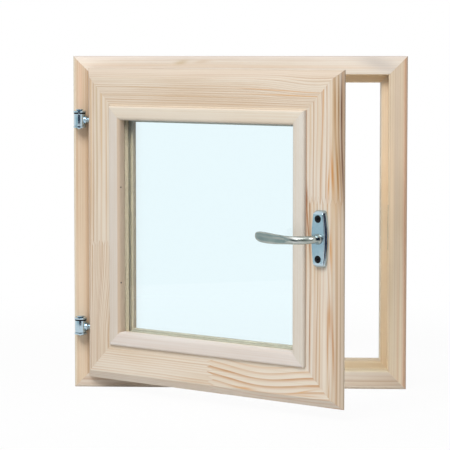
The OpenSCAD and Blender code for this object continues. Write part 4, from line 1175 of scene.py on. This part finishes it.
def lever_sizes(x):
    """Half height, half thickness and squareness of the section at x along the lever."""
    t = x / LEVER_L
    wide, thin = soft_step(t, 0.36, 0.8), soft_step(t, 0.3, 0.55)
    close = max(0.0, 1 - max(0.0, (t - 0.84) / 0.16) ** 2.4) ** (1 / 2.4)
    height = WAIST_HALF[0] + (PADDLE_HALF[0] - WAIST_HALF[0]) * wide
    thick = WAIST_HALF[1] + (PADDLE_HALF[1] - WAIST_HALF[1]) * thin
    neck = soft_step(x, 0.0, 9.0)
    height, thick = NECK_R + (height - NECK_R) * neck, NECK_R + (thick - NECK_R) * neck
    return height * close, thick * close, 1.9 + 2.4 * soft_step(t, 0.34, 0.55)


def lever_mesh():
    """Rings along the path, with a shallow dish in the paddle's front."""
    path = lever_path()
    rings = []
    for i, ((x, v), along) in enumerate(path):
        ahead, behind = path[min(i + 1, len(path) - 1)][0], path[max(i - 1, 0)][0]
        run = Vector((ahead[0] - behind[0], ahead[1] - behind[1])).normalized()
        out = Vector((run.y, -run.x))
        half_h, half_t, power = lever_sizes(along)
        t = along / LEVER_L
        z = TIP_RISE * t ** 3 - BAR_SAG * t * (1 - t)
        dish = 0.9 * soft_step(t, 0.37, 0.45) * (1 - 0.6 * soft_step(t, 0.5, 0.7))
        dish = dish * (1 - soft_step(t, 0.86, 0.98))
        ring = []
        for k in range(RING_POINTS):
            a = 2 * math.pi * k / RING_POINTS
            cosine, sine = math.cos(a), math.sin(a)
            size = (abs(cosine) ** power + abs(sine) ** power) ** (-1 / power)
            across = half_t * cosine * size
            if cosine < 0 and half_t > dish:
                across += dish * (1 - abs(sine * size)) ** 0.5 * abs(cosine)
            up = half_h * sine * size
            ring.append((x + out.x * across, v + out.y * across, z + up))
        rings.append(ring)
    return skin(rings)


def rose_mesh():
    """The collar that turns on the plate's face, with the bearing behind it."""
    mesh = turned([(NEAR_AXIS, -0.6), (5.0, -0.6), (5.0, -7.75), (5.65, -7.8), (5.8, -7.95), (5.8, -8.5),
                   (5.6, -9.0), (5.2, -9.6), (4.8, -10.4), (4.45, -11.4), (4.1, -12.6),
                   (NEAR_AXIS, -12.7)], 48)
    mesh.transform(Matrix.Rotation(math.radians(-90), 4, "X"))
    return mesh


casting = combined(lever_mesh(), [rose_mesh()], "UNION")
made = finished(casting, "lever_casting", "handle", "lever_steel", ["handle_lever"], AT_HANDLE, sharp=35.0)
made.visible_shadow = False                         # so broad a light leaves no shadow of it on the bead
print("lever:", LEVER_L, "mm long,", len(made.data.polygons), "faces")

# %% [markdown]
# ## Glass unit, seal and brads
# The spacer between the panes and the seal on the sash's back follow the sash round, so the mitred rule
# makes them too, with their own sections. The spacer has the seam of a folded strip down its inner face,
# and the seal a soft round bulb.

# %% Strips round the glass
STRIPS = {
    "spacer_bar": ("folded_spacer", "spacer_aluminium", [
        (10, 49.5, 0.5), (16, 49.5, 0.5), (16, 58, 0.6), (13.2, 58, 0.1), (13.1, 57.7, 0), (12.9, 57.7, 0),
        (12.8, 58, 0.1), (10, 58, 0.6)]),
    "sash_seal": ("bulb_seal", "seal_rubber", [
        (27.5, 12.5, 0.2), (27.5, 17.0, 0.2), (28.4, 17.0, 0.35), (28.5, 15.8, 0.2), (29.4, 15.95, 0.6),
        (30.1, 14.75, 0.7), (29.4, 13.55, 0.6), (28.5, 13.7, 0.2), (28.4, 12.5, 0.35)]),
}
for node, (name, slot, corners) in STRIPS.items():
    strip = gathered(name, [member(corners, side, SASH_W, SASH_H, FINISH[slot]) for side in QUARTER])
    finished(strip, name, "sash", slot, [node], SHUT_TO_OPEN)
print("strips:", list(STRIPS))

# %% [markdown]
# Each pane is a flat slab with its edges ground off, because a real glazier does that, and because a bare
# edge would show as a hard line. The panes throw no shadow: real ones hardly do.

# %% Panes
GLASS_EDGE, PANE_T, GROUND_OFF = 45.0, 4.0, 0.35
PANE_FRONT = {"front_pane": 6.0, "rear_pane": 16.0}
for node, front in PANE_FRONT.items():
    x, z = SASH_W / 2 - GLASS_EDGE, SASH_H - 2 * GLASS_EDGE
    pane = pressed([(-x, 0), (x, 0), (x, z), (-x, z)], -PANE_T, 0.0)
    pane.transform(Matrix.Translation((0, front, GLASS_EDGE)) @ FACE_OUT)
    pane = combined(pane, [], bevel=GROUND_OFF, segments=2)
    name = node.replace("pane", "float_glass")
    made = finished(pane, name, "sash", "glass", [node], SHUT_TO_OPEN, sharp=10.0)
    made.visible_shadow = False
print("panes:", 2 * x, "x", z, "x", PANE_T, "mm")

# %% [markdown]
# The beads are held by brads, thin nails driven slantwise into the sash. They repeat, so Geometry Nodes set
# one nail on eight points. A named attribute holds the way each one points.

# %% Brads
def brad_tree():
    """Builds the tree: a nail on every point, turned the way its point's arrow says."""
    tree, m, given = group("brads", [
        ("Shank radius", "Float"), ("Head radius", "Float"), ("Length", "Float"), ("Metal", "Material")])
    shank = m.node("GeometryNodeMeshCylinder", None, {
        "Vertices": 12, "Radius": given["Shank radius"], "Depth": given["Length"]})["Mesh"]
    shank = m.node("GeometryNodeTransform", None, {
        "Geometry": shank, "Translation": m.vector(0.0, 0.0, given["Length"] * -0.5)})[0]
    head = m.node("GeometryNodeMeshCone", None, {
        "Vertices": 12, "Radius Top": given["Head radius"] * 0.7, "Radius Bottom": given["Head radius"],
        "Depth": given["Shank radius"] * 0.6})["Mesh"]
    nail = m.node("GeometryNodeJoinGeometry")
    m.tree.links.new(shank.socket, nail.made.inputs[0])
    m.tree.links.new(head.socket, nail.made.inputs[0])
    aim = m.node("GeometryNodeInputNamedAttribute", {"data_type": "FLOAT_VECTOR"}, {
        "Name": "aim"})["Attribute"]
    facing = m.node("FunctionNodeAlignRotationToVector", {"axis": "Z"}, {"Vector": aim})["Rotation"]
    placed = m.node("GeometryNodeInstanceOnPoints", None, {
        "Points": given["Geometry"], "Instance": nail[0], "Rotation": facing})[0]
    placed = m.node("GeometryNodeRealizeInstances", None, {"Geometry": placed})[0]
    placed = m.node("GeometryNodeSetMaterial", None, {"Geometry": placed, "Material": given["Metal"]})[0]
    m.node("NodeGroupOutput", None, {"Geometry": placed})
    return tree


BRAD_ANGLE, BRADS_AT = math.radians(20), (-55, 55)
BRAD_OUT = Vector((0, -math.sin(BRAD_ANGLE), math.cos(BRAD_ANGLE)))
SHIFT = {"left": 10, "right": -14}                  # each side's pair, along its bead
PUNCHED_IN = {"left": 0.0}                          # the hinge side's are flush, the others a millimetre in
ROUND_AT = {"left": 80}                             # how far round the bead's edge, in degrees, 45 elsewhere
spots, aims = [], []
for side in QUARTER:
    a = math.radians(ROUND_AT.get(side, 45))
    turned_to = side_matrix(side, SASH_W, SASH_H)
    out = turned_to.to_3x3() @ BRAD_OUT
    for x in BRADS_AT:
        head = turned_to @ Vector((x + SHIFT.get(side, 0), -BEAD_ROUND * math.cos(a),
                                   BEAD_EDGE - BEAD_ROUND + BEAD_ROUND * math.sin(a)))
        spots.append(head - out * PUNCHED_IN.get(side, 1.0))
        aims.append(out)
points = bpy.data.meshes.new("brad_points")
points.from_pydata([v * MM for v in spots], [], [])
points.attributes.new("aim", "FLOAT_VECTOR", "POINT").data.foreach_set("vector", [c for v in aims for c in v])
carrier = linked("brad_points", points)
mesh = settle(carrier, brad_tree(), {
    "Shank radius": 0.0007, "Head radius": 0.00095, "Length": 0.0203, "Metal": FINISH["brad_steel"]})
bpy.data.objects.remove(carrier)
mesh.transform(Matrix.Scale(METRE, 4))
finished(mesh, "bead_nails", "sash", "brad_steel", ["bead_brads"], SHUT_TO_OPEN)
print("brads:", len(spots))

# %% [markdown]
# ## The solids that stay as they are
# Dowels, tapes, sealant, blocks, the strike plate, the spindle and the latch are simple on the real window
# too, and mostly out of sight. They keep their exact solids and only take the finish of their slot.

# %% Paint the solids that stay
SLOT_OF = {part["node"]: part["material_slot"] for part in frame["record"]["subparts"]}
for name, node in frame["nodes"].items():
    slot = SLOT_OF[name]
    if slot in FINISH:
        node.data.materials.clear()
        node.data.materials.append(FINISH[slot])
print("slots:", sorted(set(SLOT_OF.values())))
